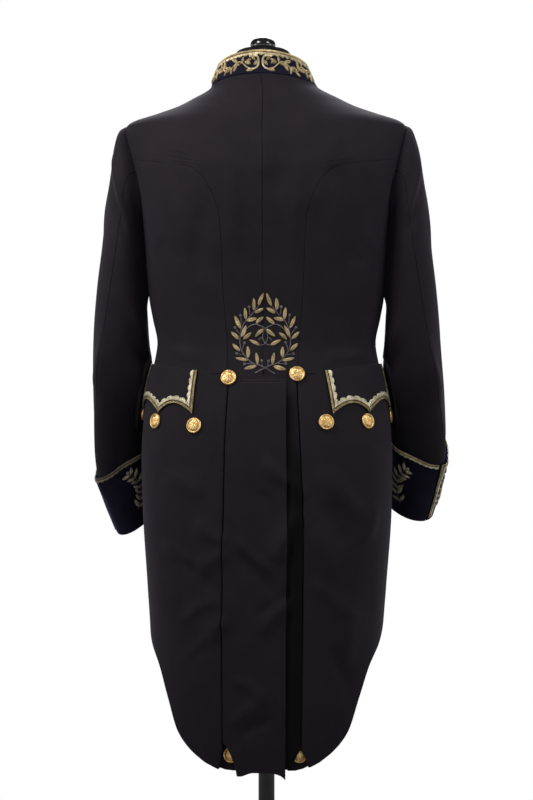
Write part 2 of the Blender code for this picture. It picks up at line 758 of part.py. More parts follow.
def collar(finish_material):
    """The stand collar, meeting at the throat, with rounded front corners."""
    reach = math.pi - COLLAR_FRONT_GAP
    grid = []
    for v in spaced(0.0, 1.0, COLLAR_ROWS):
        row = []
        for turn in spaced(-reach, reach, COLLAR_COLS):
            low = neckline(turn) + LAYER_GAP
            corner = ease(COLLAR_CORNER_FROM, math.pi, abs(turn))
            tall = COLLAR_HEIGHT - COLLAR_FRONT_DROP * abs(math.sin(turn / 2)) - COLLAR_CORNER_DROP * corner
            point, outward = on_body(turn, low + tall * v, -VELVET / 2)
            row.append((point, outward))
        grid.append(row)
    return cloth("collar", grid, VELVET, finish_material)


def sleeve_point(around, ring, side):
    """The sleeve's outer face. around is 0 at the outer edge and 90 degrees at the back."""
    if ring < 1.0:
        turn, height = armhole(math.pi - around)
        head, _ = on_body(turn, height, LAYER_GAP)
        return head.lerp(ring_point(around, 1.0, side), ring) if ring > 0.0 else head
    return ring_point(around, ring, side)


def ring_point(around, ring, side):
    """A point of one ring round the arm, pressed clear of the coat's side."""
    at = {name: SLEEVE.at(ring - 1.0, name) for name in SLEEVE_COLUMNS.split()}
    share = ease(RAISE_STARTS_AT_RING, len(SLEEVE_ROWS), ring)
    inner_raise, outer_raise = (raised * share for raised in SLEEVE_RAISE[side])
    out = SLEEVE_OUT[side] * ease(RAISE_STARTS_AT_RING, 10.0, ring)
    wrist = WRIST_OUT[side] * ease(11.0, 13.0, ring)
    inner = Vector((at["inner_x"] + out / 2, at["centre_y"], at["inner_z"] + inner_raise))
    outer = Vector((at["outer_x"] + out + wrist, at["centre_y"], at["outer_z"] + outer_raise))
    bend = math.radians(at["bend_deg"])
    deep = Vector((0.0, math.cos(bend), math.sin(bend))) * at["half_depth"]
    point = (inner + outer) / 2 + (outer - inner) / 2 * math.cos(around) - deep * math.sin(around)
    return pressed(point)


def pressed(point):
    """A sleeve's point moved out where it would touch the coat's side, its flap or the button there."""
    over_flap = ease(*FLAP_ZONE_TOP, point.z) * ease(*FLAP_ZONE_FOOT, point.z)
    room = ARM_ROOM + over_flap * (FLAP_ROOM + BUTTON_ROOM * ease(*BUTTON_ZONE, point.y))
    power = BODY.at(point.z, "squareness")
    depth = BODY.at(point.z, "back" if point.y < 0.0 else "front") + room
    share = max(1.0 - (abs(point.y) / depth) ** power, 0.0) ** (1.0 / power)
    wall = (BODY.at(point.z, "half_width") + room) * share
    # The greater of the two, rounded where they meet
    clear = (point.x + wall + math.hypot(point.x - wall, ARM_SOFT)) / 2
    return Vector((clear, point.y, point.z))


def on_sleeve(around, ring, side, lift):
    """A point that far outside the sleeve's face, with the way that face looks."""
    step = 0.05
    low, high = max(ring - step, 0.0), min(ring + step, float(len(SLEEVE_ROWS)))
    down = sleeve_point(around, high, side) - sleeve_point(around, low, side)
    across = sleeve_point(around + step, ring, side) - sleeve_point(around - step, ring, side)
    outward = across.cross(down).normalized()
    return sleeve_point(around, ring, side) + outward * lift, outward


def hind_seam(ring):
    """Where the back seam of the sleeve runs: it turns outwards on its way to the wrist."""
    return HIND_SEAM_DEG - HIND_SEAM_TWIST_DEG * ease(*TWIST_RINGS, ring)


def sleeve_piece(name, side, end_deg, finish_material):
    """The top or under sleeve, from the hind seam to the fore seam."""
    grid = [
        [
            on_sleeve(math.radians(deg), ring, side, -CLOTH / 2)
            for deg in spaced(hind_seam(ring), end_deg, SLEEVE_COLS)
        ]
        for ring in SLEEVE_RINGS
    ]
    return cloth(name, trimmed(grid), CLOTH, finish_material, SIDES[side])


def cuff(side, finish_material):
    """The turned-back cuff round the wrist, open at the hind seam."""
    end = float(len(SLEEVE_ROWS))
    slit = hind_seam(end) + CUFF_OPENING_TURN_DEG[side]
    grid = []
    for v in spaced(0.0, 1.0, CUFF_ROWS):
        row = []
        for deg in spaced(slit + CUFF_SLIT_DEG, slit + 360 - CUFF_SLIT_DEG, CUFF_COLS):
            around = math.radians(deg)
            lowest = math.radians(CUFF_LOWEST_DEG[side])
            top = CUFF_TOP_RING[side] + CUFF_TOP_DROP[side] * ((1 + math.cos(around - lowest)) / 2) ** 2
            ring = end + (top - end) * v
            lift = CUFF_GAP + VELVET / 2 + CUFF_FLARE * v * v
            point, outward = on_sleeve(around, ring, side, lift)
            if v == 0.0:
                above, _ = on_sleeve(around, end - 0.1, side, lift)
                point += (point - above).normalized() * CUFF_OVERHANG
            row.append((point, outward))
        grid.append(row)
    return cloth("cuff_" + side, grid, VELVET, finish_material, SIDES[side])


def form_torso(finish_material):
    """The dress form's body: the coat's section drawn in, flat where the arms would start."""
    bm = bmesh.new()
    rows = len(FORM_HEIGHTS) - 1
    across, up = numbered_grid(bm, FORM_COLS, rows)
    for vert in bm.verts:
        height = FORM_HEIGHTS[vert[up]]
        rounding = FORM_EDGE_ROUND if vert[up] in (0, rows) else 0.0
        turn = 2 * math.pi * vert[across] / FORM_COLS
        inset = FORM.at(height, "inset") + FORM_FRONT_EXTRA * ease(0.0, 0.5, -math.cos(turn))
        point, _ = on_body(turn, height, -inset - rounding)
        if vert[up] in (0, rows):
            point.z = height
        point.x = min(max(point.x, -ARM_PLATE), ARM_PLATE)
        vert.co = settled(point)
    bmesh.ops.remove_doubles(bm, verts=bm.verts, dist=1e-5)
    bmesh.ops.holes_fill(bm, edges=[edge for edge in bm.edges if edge.is_boundary], sides=0)
    face_outwards(bm)
    return finish("form_torso", bm, finish_material)


def form_fittings(gloss, steel):
    """Neck cap, finial, the flange under the form, the pole and the base."""
    top = FORM_TOP + TOUCH
    wide, thick = CAP_RADIUS, CAP_THICK
    shift = Vector((SETTLE_ROWS[-1][1], 0.0, 0.0))
    cap = turned("neck_cap", (
        (0.0, top), (wide - 0.002, top), (wide, top + 0.003), (wide, top + 0.006),
        (wide - 0.005, top + 0.0125), (wide - 0.014, top + 0.0165), (wide - 0.024, top + thick),
        (0.0, top + thick),
    ), 24, gloss)
    cap.location = shift
    high = top + thick + TOUCH
    middle = high + 0.0032
    knob = [(0.0, high), (FINIAL_RADIUS - 0.0022, high), (FINIAL_RADIUS - 0.0004, high + 0.0012)]
    for deg in spaced(0.0, 72.0, 4):
        knob.append((
            FINIAL_RADIUS * math.cos(math.radians(deg)),
            middle + (FINIAL_TALL - 0.0032) * math.sin(math.radians(deg)),
        ))
    knob.append((0.0, high + FINIAL_TALL))
    finial = turned("finial", knob, 16, gloss)
    finial.location = shift
    low = FORM_BOTTOM - TOUCH
    flange = turned("flange", (
        (0.0, low - 0.006), (FLANGE_RADIUS - 0.002, low - 0.006), (FLANGE_RADIUS, low - 0.004),
        (FLANGE_RADIUS, low), (0.0, low),
    ), 24, steel)
    foot, head = BASE_THICK + 0.010 + TOUCH, low - 0.006 - TOUCH
    pole = turned("pole", (
        (0.0, foot), (POLE_RADIUS, foot), (POLE_RADIUS, head), (0.0, head),
    ), 16, steel)
    base = turned("base", (
        (0.0, 0.0), (BASE_RADIUS - 0.003, 0.0), (BASE_RADIUS, 0.003), (BASE_RADIUS, 0.007),
        (BASE_RADIUS - 0.006, BASE_THICK - 0.001), (0.036, BASE_THICK), (0.024, BASE_THICK + 0.004),
        (0.020, BASE_THICK + 0.010), (0.0, BASE_THICK + 0.010),
    ), 28, steel)
    return cap, finial, flange, pole, base


def cloth_height(point, outward, panels):
    """How far the highest cloth under a button stands above the point."""
    across = outward.orthogonal().normalized()
    other = outward.cross(across)
    reach, spots, highest = 0.02, 16, -1.0
    trees = [
        BVHTree.FromPolygons([v.co for v in o.data.vertices], [f.vertices for f in o.data.polygons])
        for o in panels
    ]
    for share in (0.0, 0.6, 1.0):
        for k in range(spots):
            angle = 2 * math.pi * k / spots
            side = across * math.cos(angle) + other * math.sin(angle)
            start = point + side * BUTTON_RADIUS * share + outward * reach
            for tree in trees:
                _, _, _, distance = tree.ray_cast(start, -outward, 2 * reach)
                if distance is not None:
                    highest = max(highest, reach - distance)
    return highest


def button(name, turn, height, mirror, finish_material, panels, depth=None):
    """A domed button, its back just clear of the panels under it, or at the given depth."""
    r = BUTTON_RADIUS
    made = turned(name, (
        (0.0, 0.0), (r * 0.96, 0.0), (r, 0.0018), (r * 0.6, 0.0040), (0.0, 0.0049),
    ), 10, finish_material)
    point, outward = on_body(turn, height)
    point = settled(point, mirror)
    outward.x *= mirror
    lift = cloth_height(point, outward, panels) + TOUCH if depth is None else -depth
    made.rotation_mode = "QUATERNION"
    made.rotation_quaternion = outward.to_track_quat("Z", "Y")
    made.location = point + outward * lift
    return made


def all_buttons(gilt):
    """Waist, tail, flap and front buttons."""
    objects = bpy.data.objects
    for side, mirror in SIDES.items():
        height = WAIST_BUTTON_HEIGHTS[side]
        under = [objects[kind + side] for kind in ("back_", "side_body_", "skirt_")]
        under.append(objects["back_left"])
        button("waist_button_" + side, turn_at(WAIST_BUTTON_X, height), height, mirror, gilt, under)
        height = TAIL_BUTTON_HEIGHT
        depth = pleat_depth(PLEAT_FOLD_ROWS[0][1], height) - CLOTH / 2
        button("tail_button_" + side, turn_at(TAIL_BUTTON_X[side], height), height, mirror, gilt, [], depth)
        under = [objects["skirt_" + side], objects["flap_" + side]]
        for k, (deg, flap_height) in enumerate(FLAP_BUTTON_ROWS[side]):
            name = f"flap_button_{side}_{k + 1}"
            button(name, math.radians(deg), flap_height, mirror, gilt, under)
    under = [objects["forepart_left"], objects["forepart_right"]]
    for k, height in enumerate(spaced(FRONT_BUTTON_LOW, FRONT_BUTTON_HIGH, FRONT_BUTTONS - 1)):
        button(f"front_button_{k + 1}", math.pi, height, 1.0, gilt, under)


def build():
    """Clears the scene and makes every piece."""
    for old in list(bpy.data.objects):
        bpy.data.objects.remove(old)
    wool = material("wool", (0.012, 0.012, 0.015), 0.85)
    velvet = material("velvet", (0.006, 0.006, 0.030), 0.8)
    gilt = material("gilt", (0.83, 0.58, 0.22), 0.3, 1.0)
    jersey = material("jersey", (0.02, 0.02, 0.02), 0.9)
    gloss = material("black_gloss", (0.008, 0.008, 0.009), 0.15)
    steel = material("black_steel", (0.015, 0.015, 0.016), 0.4, 0.3)
    for side in SIDES:
        back_panel(side, wool)
        side_body(side, wool)
        forepart(side, wool)
        skirt(side, wool)
        flap(side, wool)
        sleeve_piece("topsleeve_" + side, side, FORE_SEAM_DEG - 360, wool)
        sleeve_piece("undersleeve_" + side, side, FORE_SEAM_DEG, wool)
        cuff(side, velvet)
    collar(velvet)
    all_buttons(gilt)
    form_torso(jersey)
    form_fittings(gloss, steel)


build()
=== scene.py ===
"""A court uniform tailcoat on its dress form, seen from behind.

The panels are cut from the same tables as the solids, more finely divided and with the cloth's folds, and the
embroidery, braid and buttons are laid on them. Metres, +Z up, the wearer's back towards -Y.
"""
import math
import random

import bmesh
import bpy
import numpy as np
from mathutils import Matrix, Vector, noise
from mathutils.bvhtree import BVHTree


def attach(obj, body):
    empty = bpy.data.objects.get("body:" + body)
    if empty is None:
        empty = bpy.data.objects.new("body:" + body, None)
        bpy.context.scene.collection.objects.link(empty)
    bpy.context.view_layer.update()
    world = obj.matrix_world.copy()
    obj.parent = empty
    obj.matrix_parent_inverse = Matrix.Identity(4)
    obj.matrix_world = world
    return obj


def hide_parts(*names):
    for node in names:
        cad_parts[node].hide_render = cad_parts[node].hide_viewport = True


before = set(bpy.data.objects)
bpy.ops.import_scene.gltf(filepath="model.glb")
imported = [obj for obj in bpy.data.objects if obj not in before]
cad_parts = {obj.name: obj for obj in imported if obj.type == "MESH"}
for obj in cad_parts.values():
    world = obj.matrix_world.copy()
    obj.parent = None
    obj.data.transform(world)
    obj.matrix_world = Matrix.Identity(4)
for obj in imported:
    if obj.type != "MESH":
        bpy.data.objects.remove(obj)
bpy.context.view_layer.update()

# Driving sizes
CLOTH = 0.002
VELVET = 0.0026
SEAM_TRIM = 0.0002
LAYER_GAP = 0.0006
BUTTON_RADIUS = 0.012
COLLAR_HEIGHT = 0.037
COLLAR_FRONT_DROP = 0.004
COLLAR_FRONT_GAP = 0.024
COLLAR_CORNER_FROM = math.radians(166)
COLLAR_CORNER_DROP = 0.008
NAPE_HEIGHT = 1.488
THROAT_HEIGHT = 1.456
WAIST_HEIGHT = 1.026
WAIST_RISE_AT_SIDE = 0.0225
SKIRT_DROP = 0.0004
HEM_HEIGHT = 0.430

# Half the coat's outer section at each height above the floor
BODY_COLUMNS = "height half_width back front squareness"
BODY_ROWS = (
    (0.400, 0.1760, 0.159, 0.140, 2.30),
    (0.630, 0.1800, 0.157, 0.142, 2.30),
    (0.700, 0.1845, 0.155, 0.143, 2.32),
    (0.820, 0.1925, 0.151, 0.144, 2.38),
    (0.900, 0.1940, 0.147, 0.143, 2.40),
    (0.960, 0.1905, 0.139, 0.139, 2.40),
    (1.000, 0.1855, 0.129, 0.131, 2.40),
    (1.030, 0.1790, 0.119, 0.124, 2.40),
    (1.053, 0.1725, 0.112, 0.120, 2.40),
    (1.078, 0.1690, 0.109, 0.117, 2.35),
    (1.115, 0.1760, 0.110, 0.119, 2.30),
    (1.145, 0.1815, 0.113, 0.122, 2.33),
    (1.180, 0.1855, 0.117, 0.125, 2.35),
    (1.250, 0.1905, 0.125, 0.128, 2.40),
    (1.300, 0.1990, 0.129, 0.126, 2.35),
    (1.340, 0.2095, 0.1285, 0.119, 2.20),
    (1.376, 0.2170, 0.122, 0.106, 2.00),
    (1.401, 0.2190, 0.114, 0.093, 1.85),
    (1.414, 0.2160, 0.109, 0.085, 1.80),
    (1.421, 0.2075, 0.106, 0.081, 1.78),
    (1.433, 0.1710, 0.101, 0.076, 1.75),
    (1.4455, 0.1355, 0.096, 0.072, 1.75),
    (1.458, 0.1105, 0.090, 0.069, 1.80),
    (1.467, 0.0925, 0.086, 0.067, 1.88),
    (1.474, 0.0825, 0.0825, 0.066, 1.95),
    (1.488, 0.0765, 0.0780, 0.064, 2.00),
    (1.517, 0.0665, 0.0720, 0.059, 2.00),
    (1.540, 0.0630, 0.0690, 0.056, 2.00),
)

# How far the dress form lies inside the coat's outer face
FORM_COLUMNS = "height inset"
FORM_ROWS = (
    (0.860, 0.025),
    (0.960, 0.023),
    (1.000, 0.021),
    (1.045, 0.018),
    (1.080, 0.014),
    (1.180, 0.012),
    (1.336, 0.0135),
    (1.376, 0.0120),
    (1.406, 0.0065),
    (1.428, 0.0038),
    (1.458, 0.0036),
    (1.474, 0.0065),
    (1.488, 0.0085),
    (1.540, 0.0085),
)
FORM_FRONT_EXTRA = 0.0035
FORM_BOTTOM = 0.860
FORM_TOP = 1.518
FORM_EDGE_ROUND = 0.004
FORM_HEIGHTS = (
    FORM_BOTTOM, 0.866, 0.900, 0.950, 1.000, 1.045, 1.080, 1.120, 1.180, 1.250, 1.300, 1.340, 1.375,
    1.398, 1.412, 1.425, 1.438, 1.450, 1.462, 1.472, 1.484, 1.500, 1.514, FORM_TOP,
)
FORM_COLS = 24
ARM_PLATE = 0.186

# The armhole: its middle height, half height, and how far it cuts round the ring to the back and front
ARMHOLE_HEIGHT = 1.331
ARMHOLE_HALF = 0.083
ARMHOLE_BACK_DEG = 19.0
ARMHOLE_FRONT_DEG = 21.0
SIDE_BACK_AT_ARMHOLE_DEG = 111.0

# The curved seam between back and side body, up from the waist button: (height, distance from the middle)
SIDE_BACK_ROWS = (
    (1.026, 0.0515),
    (1.072, 0.0540),
    (1.120, 0.0575),
    (1.180, 0.0615),
    (1.228, 0.0630),
    (1.270, 0.0660),
    (1.299, 0.0755),
    (1.326, 0.0900),
    (1.344, 0.1120),
    (1.354, 0.1450),
)
SIDE_BACK_FOOT = 0.0519

# The pleat line down the back skirt, and the heights that the skirt's rows stand at
PLEAT_COLUMNS = "height from_centre"
PLEAT_ROWS = (
    (0.430, 0.0580),
    (0.480, 0.0590),
    (0.725, 0.0608),
    (0.900, 0.0575),
    (1.026, 0.0512),
)
SKIRT_LEVELS = (0.430, 0.460, 0.505, 0.570, 0.650, 0.730, 0.810, 0.880, 0.930, 0.963, 0.987, 1.007, 1.026)

# The pleat's cloth from its inner end, round two folds, to the outer face: (along, depth)
PLEAT_FOLD_ROWS = (
    (-0.0310, 0.0130),
    (0.0120, 0.0130),
    (0.0285, 0.0126),
    (0.0325, 0.0094),
    (0.0285, 0.0060),
    (0.0100, 0.0055),
    (0.0020, 0.0052),
    (0.0000, 0.0031),
    (0.0022, 0.0011),
    (0.0120, 0.0010),
)
PLEAT_DEPTH_AT_WAIST = 0.62
PLEAT_DEPTH_AT_HEM = 1.15
PLEAT_LINE_GAP = 0.0030
PLEAT_NOSE = 0.0085
PLEAT_CUT_TOP = 0.520
# Near the hem the back's edge and the skirt's draw apart: how far each moves, and over what height
PLEAT_MOUTH_AT_HEM = {"left": (0.0200, 0.0060), "right": (0.0130, 0.0130)}
PLEAT_MOUTH_HEIGHT = 0.034
BACK_MOUTH_HEIGHT = {"left": 0.044, "right": PLEAT_MOUTH_HEIGHT}
PLEAT_MOUTH_POWER = 0.55

# The cut-away front edge of each skirt, up from the hem: (turn round the ring in degrees, height)
FRONT_EDGE_ROWS = (
    (25.8, 0.4465),
    (34.5, 0.4630),
    (44.0, 0.4900),
    (52.5, 0.5390),
    (62.5, 0.5880),
    (78.0, 0.6230),
    (93.0, 0.6570),
    (105.0, 0.7050),
    (120.0, 0.7600),
    (133.0, 0.8280),
    (145.0, 0.9000),
    (155.0, 0.9680),
    (164.0, 1.0345),
)

# The hem, by distance from the middle towards the piece's own side; below zero it is the vent's lap
HEM_COLUMNS = "from_centre height"
HEM_ROWS = {
    "left": (
        (-0.036, 0.4210), (-0.028, 0.4275), (-0.012, 0.4315), (0.013, 0.4315), (0.033, 0.4260),
        (0.0505, 0.4305),
    ),
    "right": ((-0.014, 0.4370), (0.036, 0.4385), (0.056, 0.4365)),
    "skirt": (
        (0.0540, 0.4335), (0.0660, 0.4365), (0.0770, 0.4415), (0.0863, 0.4465), (0.1074, 0.4630),
        (0.1285, 0.4900),
    ),
}

# The vent: the left back skirt laps over the right one below the tack
VENT_LAP = 0.036
VENT_UNDERLAP = 0.014
VENT_TOP = 1.0200
VENT_TOP_CLEAR = 0.002
FRONT_LAP = 0.018
FRONT_UNDERLAP = 0.010
FRONT_STEP = (0.025, 0.035)
UNDER_DEPTH = 0.0030
BACK_STEP = (0.040, 0.048)
BACK_STEP_END = (1.031, 1.043)

# Sleeve rings, from the sleeve head to the wrist, for the right sleeve
SLEEVE_COLUMNS = "inner_x inner_z outer_x outer_z half_depth centre_y bend_deg"
SLEEVE_ROWS = (
    (0.1915, 1.2400, 0.2280, 1.4095, 0.0590, 0.002, 0.0),
    (0.1905, 1.2320, 0.2360, 1.3810, 0.0615, 0.002, 0.0),
    (0.1895, 1.2160, 0.2425, 1.3360, 0.0635, 0.001, 0.0),
    (0.1885, 1.1930, 0.2485, 1.2860, 0.0645, 0.000, 0.0),
    (0.1870, 1.1600, 0.2555, 1.2230, 0.0640, -0.002, 0.0),
    (0.1845, 1.1200, 0.2630, 1.1600, 0.0640, -0.002, 1.0),
    (0.1817, 1.0750, 0.2688, 1.0950, 0.0650, 0.004, 5.0),
    (0.1760, 1.0300, 0.2715, 1.0350, 0.0660, 0.016, 11.0),
    (0.1800, 0.9870, 0.2725, 0.9820, 0.0650, 0.036, 17.0),
    (0.1870, 0.9470, 0.2725, 0.9310, 0.0630, 0.060, 22.0),
    (0.1890, 0.9080, 0.2700, 0.8840, 0.0595, 0.084, 25.0),
    (0.1855, 0.8700, 0.2600, 0.8360, 0.0560, 0.106, 26.0),
    (0.1790, 0.8320, 0.2440, 0.7880, 0.0520, 0.127, 26.0),
)
HIND_SEAM_DEG = 84.0
HIND_SEAM_TWIST_DEG = 52.0
TWIST_RINGS = (2.0, 12.0)
FORE_SEAM_DEG = 250.0
# The right forearm hangs a little higher, (inner edge, outer edge), and further out than the left one
SLEEVE_RAISE = {"left": (0.0, 0.0), "right": (0.010, 0.026)}
SLEEVE_OUT = {"left": 0.0, "right": 0.005}
WRIST_OUT = {"left": 0.0, "right": 0.006}
RAISE_STARTS_AT_RING = 7.0
OUT_ENDS_AT_RING = 10.0
WRIST_RINGS = (11.0, 13.0)
# How far a sleeve keeps from the coat's side, and what the flap and its third button add to that
ARM_ROOM = 0.0014
ARM_SOFT = 0.0016
FLAP_ROOM = 0.0032
BUTTON_ROOM = 0.0062
FLAP_ZONE_TOP = (1.062, 1.050)
FLAP_ZONE_FOOT = (0.930, 0.945)
BUTTON_ZONE = (0.040, 0.020)
# Under the arm the sleeve lies against the coat: the heights that this starts and ends over, and its size
ARMPIT_FROM = (1.130, 1.162)
ARMPIT_TO = (1.262, 1.300)
ARMPIT_PRESS = 0.0050
ARMPIT_REACH = 0.030
CUFF_TOP_RING = {"left": 10.40, "right": 10.30}
CUFF_TOP_DROP = {"left": 0.70, "right": 0.60}
CUFF_LOWEST_DEG = {"left": 10.0, "right": 32.0}
CUFF_FLARE = 0.0020
CUFF_GAP = 0.0009
CUFF_SLIT_DEG = 1.6
# How far each cuff's opening is turned to the back from the sleeve's hind seam
CUFF_OPENING_TURN_DEG = {"left": -9.0, "right": 13.5}
CUFF_OVERHANG = 0.0010

# Pocket flap: three points joined by scallops, under the waist seam
FLAP_REAR_X = {"left": 0.0988, "right": 0.0924}
FLAP_POINT_TURNS_DEG = (29.7, 54.0, 87.0)
FLAP_POINT_HEIGHTS = (0.968, 0.971, 0.980)
FLAP_TOP_DROP = 0.003
FLAP_SCALLOP_RISE = 0.0155
FLAP_FRONT_SLANT = 0.02
FLAP_THICK = 0.0022

# Buttons
WAIST_BUTTON_HEIGHTS = {"left": 1.0235, "right": 1.0290}
WAIST_BUTTON_X = 0.0515
TAIL_BUTTON_HEIGHT = 0.4572
TAIL_BUTTON_X = {"left": 0.0486, "right": 0.0590}
# (turn round the ring in degrees, height)
FLAP_BUTTON_ROWS = {
    "left": ((28.5, 0.9515), (57.0, 0.9580), (90.0, 0.9700)),
    "right": ((25.9, 0.9568), (52.4, 0.9580), (89.5, 0.9666)),
}
FRONT_BUTTONS = 9
FRONT_BUTTON_LOW = 1.080
FRONT_BUTTON_HIGH = 1.428

# Dress form's fittings and stand
CAP_RADIUS = 0.0440
CAP_THICK = 0.0175
FINIAL_RADIUS = 0.0198
FINIAL_TALL = 0.0176
FLANGE_RADIUS = 0.060
POLE_RADIUS = 0.0125
BASE_RADIUS = 0.190
BASE_THICK = 0.012
TOUCH = 0.0003

# The coat hangs a little off the middle line: sideways shift at each height
SETTLE_COLUMNS = "height shift"
SETTLE_ROWS = (
    (0.42, -0.0002), (0.60, 0.0002), (0.80, 0.0015), (1.00, 0.0), (1.36, 0.0), (1.40, -0.0015),
    (1.44, -0.0010), (1.462, -0.0015), (1.485, -0.0055),
)

SIDES = {"left": -1.0, "right": 1.0}

# Heights on the middle lines that are level with the armhole's ends
BACK_BREAKS = (1.378, 1.416)
FRONT_BREAKS = (1.235, 1.395)


class Curve:
    """A table's columns read at any place along its first column, by monotone cubics."""

    def __init__(self, columns, rows):
        names = columns.split()
        self.keys = [row[0] for row in rows]
        self.columns = {name: [row[k] for row in rows] for k, name in enumerate(names)}
        self.slopes = {name: self.monotone(self.columns[name]) for name in names}

    def monotone(self, values):
        steps = [b - a for a, b in zip(self.keys, self.keys[1:])]
        rises = [(b - a) / step for a, b, step in zip(values, values[1:], steps)]
        slopes = [rises[0]]
        for before, after in zip(rises, rises[1:]):
            level = before * after <= 0.0
            slopes.append(0.0 if level else 2.0 * before * after / (before + after))
        return slopes + [rises[-1]]

    def at(self, key, name):
        key = min(max(key, self.keys[0]), self.keys[-1])
        k = 0
        while k < len(self.keys) - 2 and key > self.keys[k + 1]:
            k += 1
        step = self.keys[k + 1] - self.keys[k]
        t = (key - self.keys[k]) / step
        low, high = self.columns[name][k], self.columns[name][k + 1]
        low_slope, high_slope = self.slopes[name][k] * step, self.slopes[name][k + 1] * step
        return (
            low * (1 + 2 * t) * (1 - t) ** 2
            + low_slope * t * (1 - t) ** 2
            + high * t * t * (3 - 2 * t)
            + high_slope * t * t * (t - 1)
        )


def numbered(columns, rows):
    """The same kind of curve, read by row number."""
    return Curve("ring " + columns, [(float(k), *row) for k, row in enumerate(rows)])


BODY = Curve(BODY_COLUMNS, BODY_ROWS)
FORM = Curve(FORM_COLUMNS, FORM_ROWS)
PLEAT = Curve(PLEAT_COLUMNS, PLEAT_ROWS)
SLEEVE = numbered(SLEEVE_COLUMNS, SLEEVE_ROWS)
SETTLE = Curve(SETTLE_COLUMNS, SETTLE_ROWS)
FOLD = numbered("along depth", PLEAT_FOLD_ROWS)
FRONT_EDGE = numbered("degrees height", FRONT_EDGE_ROWS)
HEM = {part: Curve(HEM_COLUMNS, rows) for part, rows in HEM_ROWS.items()}


def ease(low, high, value):
    """0 below low, 1 above high, smooth between."""
    t = min(max((value - low) / (high - low), 0.0), 1.0)
    return t * t * (3.0 - 2.0 * t)


def signed_power(value, power):
    return math.copysign(abs(value) ** power, value)


def body_point(turn, height):
    """The coat's outer face. turn is 0 at the middle of the back, 90 degrees at the right side."""
    power = 2.0 / BODY.at(height, "squareness")
    across, along = math.sin(turn), math.cos(turn)
    depth = BODY.at(height, "back" if along > 0.0 else "front")
    return Vector((
        BODY.at(height, "half_width") * signed_power(across, power),
        -depth * signed_power(along, power),
        height,
    ))


def body_frame(turn, height):
    """The unit direction round the ring and the outward normal at a point of the coat."""
    step_turn, step_height = 0.004, 0.0015
    # The middle lines are read a little to each side, where the section's slope is finite
    around = body_point(turn + step_turn, height) - body_point(turn - step_turn, height)
    rise = body_point(turn, height + step_height) - body_point(turn, height - step_height)
    around.normalize()
    return around, around.cross(rise).normalized()


def on_body(turn, height, lift=0.0):
    """A point that far outside the coat's outer face, with the way that face looks."""
    _, outward = body_frame(turn, height)
    return body_point(turn, height) + outward * lift, outward


def turn_at(from_centre, height):
    """The turn at which the coat is that far from its middle line, as seen from behind."""
    share = abs(from_centre) / BODY.at(height, "half_width")
    angle = math.asin(min(share, 1.0) ** (BODY.at(height, "squareness") / 2.0))
    return math.copysign(angle, from_centre)


def front_turn_at(from_centre, height):
    """The same on the front, measured on past 180 degrees for a negative distance."""
    return math.pi - turn_at(from_centre, height)


def armhole(around):
    """Turn and height on the armhole seam. around is 0 at the armpit and pi at the tip, over the back."""
    cut = math.radians(ARMHOLE_BACK_DEG if math.sin(around) > 0.0 else ARMHOLE_FRONT_DEG)
    return math.pi / 2 - cut * math.sin(around), ARMHOLE_HEIGHT - ARMHOLE_HALF * math.cos(around)


def neckline(turn):
    """Height of the collar seam."""
    return (NAPE_HEIGHT + THROAT_HEIGHT) / 2 + (NAPE_HEIGHT - THROAT_HEIGHT) / 2 * math.cos(turn)


def waistline(turn):
    """Height of the waist seam."""
    power = 1.0 if math.cos(turn) > 0.0 else 1.5
    return WAIST_HEIGHT + WAIST_RISE_AT_SIDE * abs(math.sin(turn)) ** power


def spaced(start, end, count):
    """count + 1 places from start to end."""
    return [start + (end - start) * k / count for k in range(count + 1)]


def coons(left, right, bottom, top, shares=None):
    """A grid of (turn, height) places inside four edges. left and right run up, bottom and top run across.

    shares gives how far across each column stands, when the columns aren't evenly spaced.
    """
    rows = []
    shares = shares or spaced(0.0, 1.0, len(bottom) - 1)
    for j, (a, b) in enumerate(zip(left, right)):
        v = j / (len(left) - 1)
        row = []
        for u, c, d in zip(shares, bottom, top):
            row.append(tuple(
                (1 - u) * a[k] + u * b[k] + (1 - v) * c[k] + v * d[k]
                - (1 - u) * (1 - v) * bottom[0][k] - u * (1 - v) * bottom[-1][k]
                - (1 - u) * v * top[0][k] - u * v * top[-1][k]
                for k in (0, 1)
            ))
        rows.append(row)
    return rows


def trimmed(grid):
    """Moves a panel's edges in by the seam's trim. Each entry of the grid is (point, facing)."""
    last_row, last_col = len(grid) - 1, len(grid[0]) - 1
    result = []
    for j, row in enumerate(grid):
        moved_row = []
        for i, (point, facing) in enumerate(row):
            moved = point.copy()
            inner = []
            if i in (0, last_col):
                inner.append(row[1] if i == 0 else row[last_col - 1])
            if j in (0, last_row):
                inner.append(grid[1][i] if j == 0 else grid[last_row - 1][i])
            for neighbour, _ in inner:
                moved += (neighbour - point).normalized() * SEAM_TRIM
            moved_row.append((moved, facing))
        result.append(moved_row)
    return result


def settled(point, mirror=1.0):
    """A point of the right-hand half put on its own side, and shifted as the coat hangs."""
    return Vector((point.x * mirror + SETTLE.at(point.z, "shift"), point.y, point.z))


def numbered_grid(bm, cols, rows):
    """A grid whose vertices know their column and row."""
    across, up = bm.verts.layers.int.new("across"), bm.verts.layers.int.new("up")
    for vert in bmesh.ops.create_grid(bm, x_segments=cols, y_segments=rows, size=0.5)["verts"]:
        vert[across] = round((vert.co.x + 0.5) * cols)
        vert[up] = round((vert.co.y + 0.5) * rows)
    return across, up


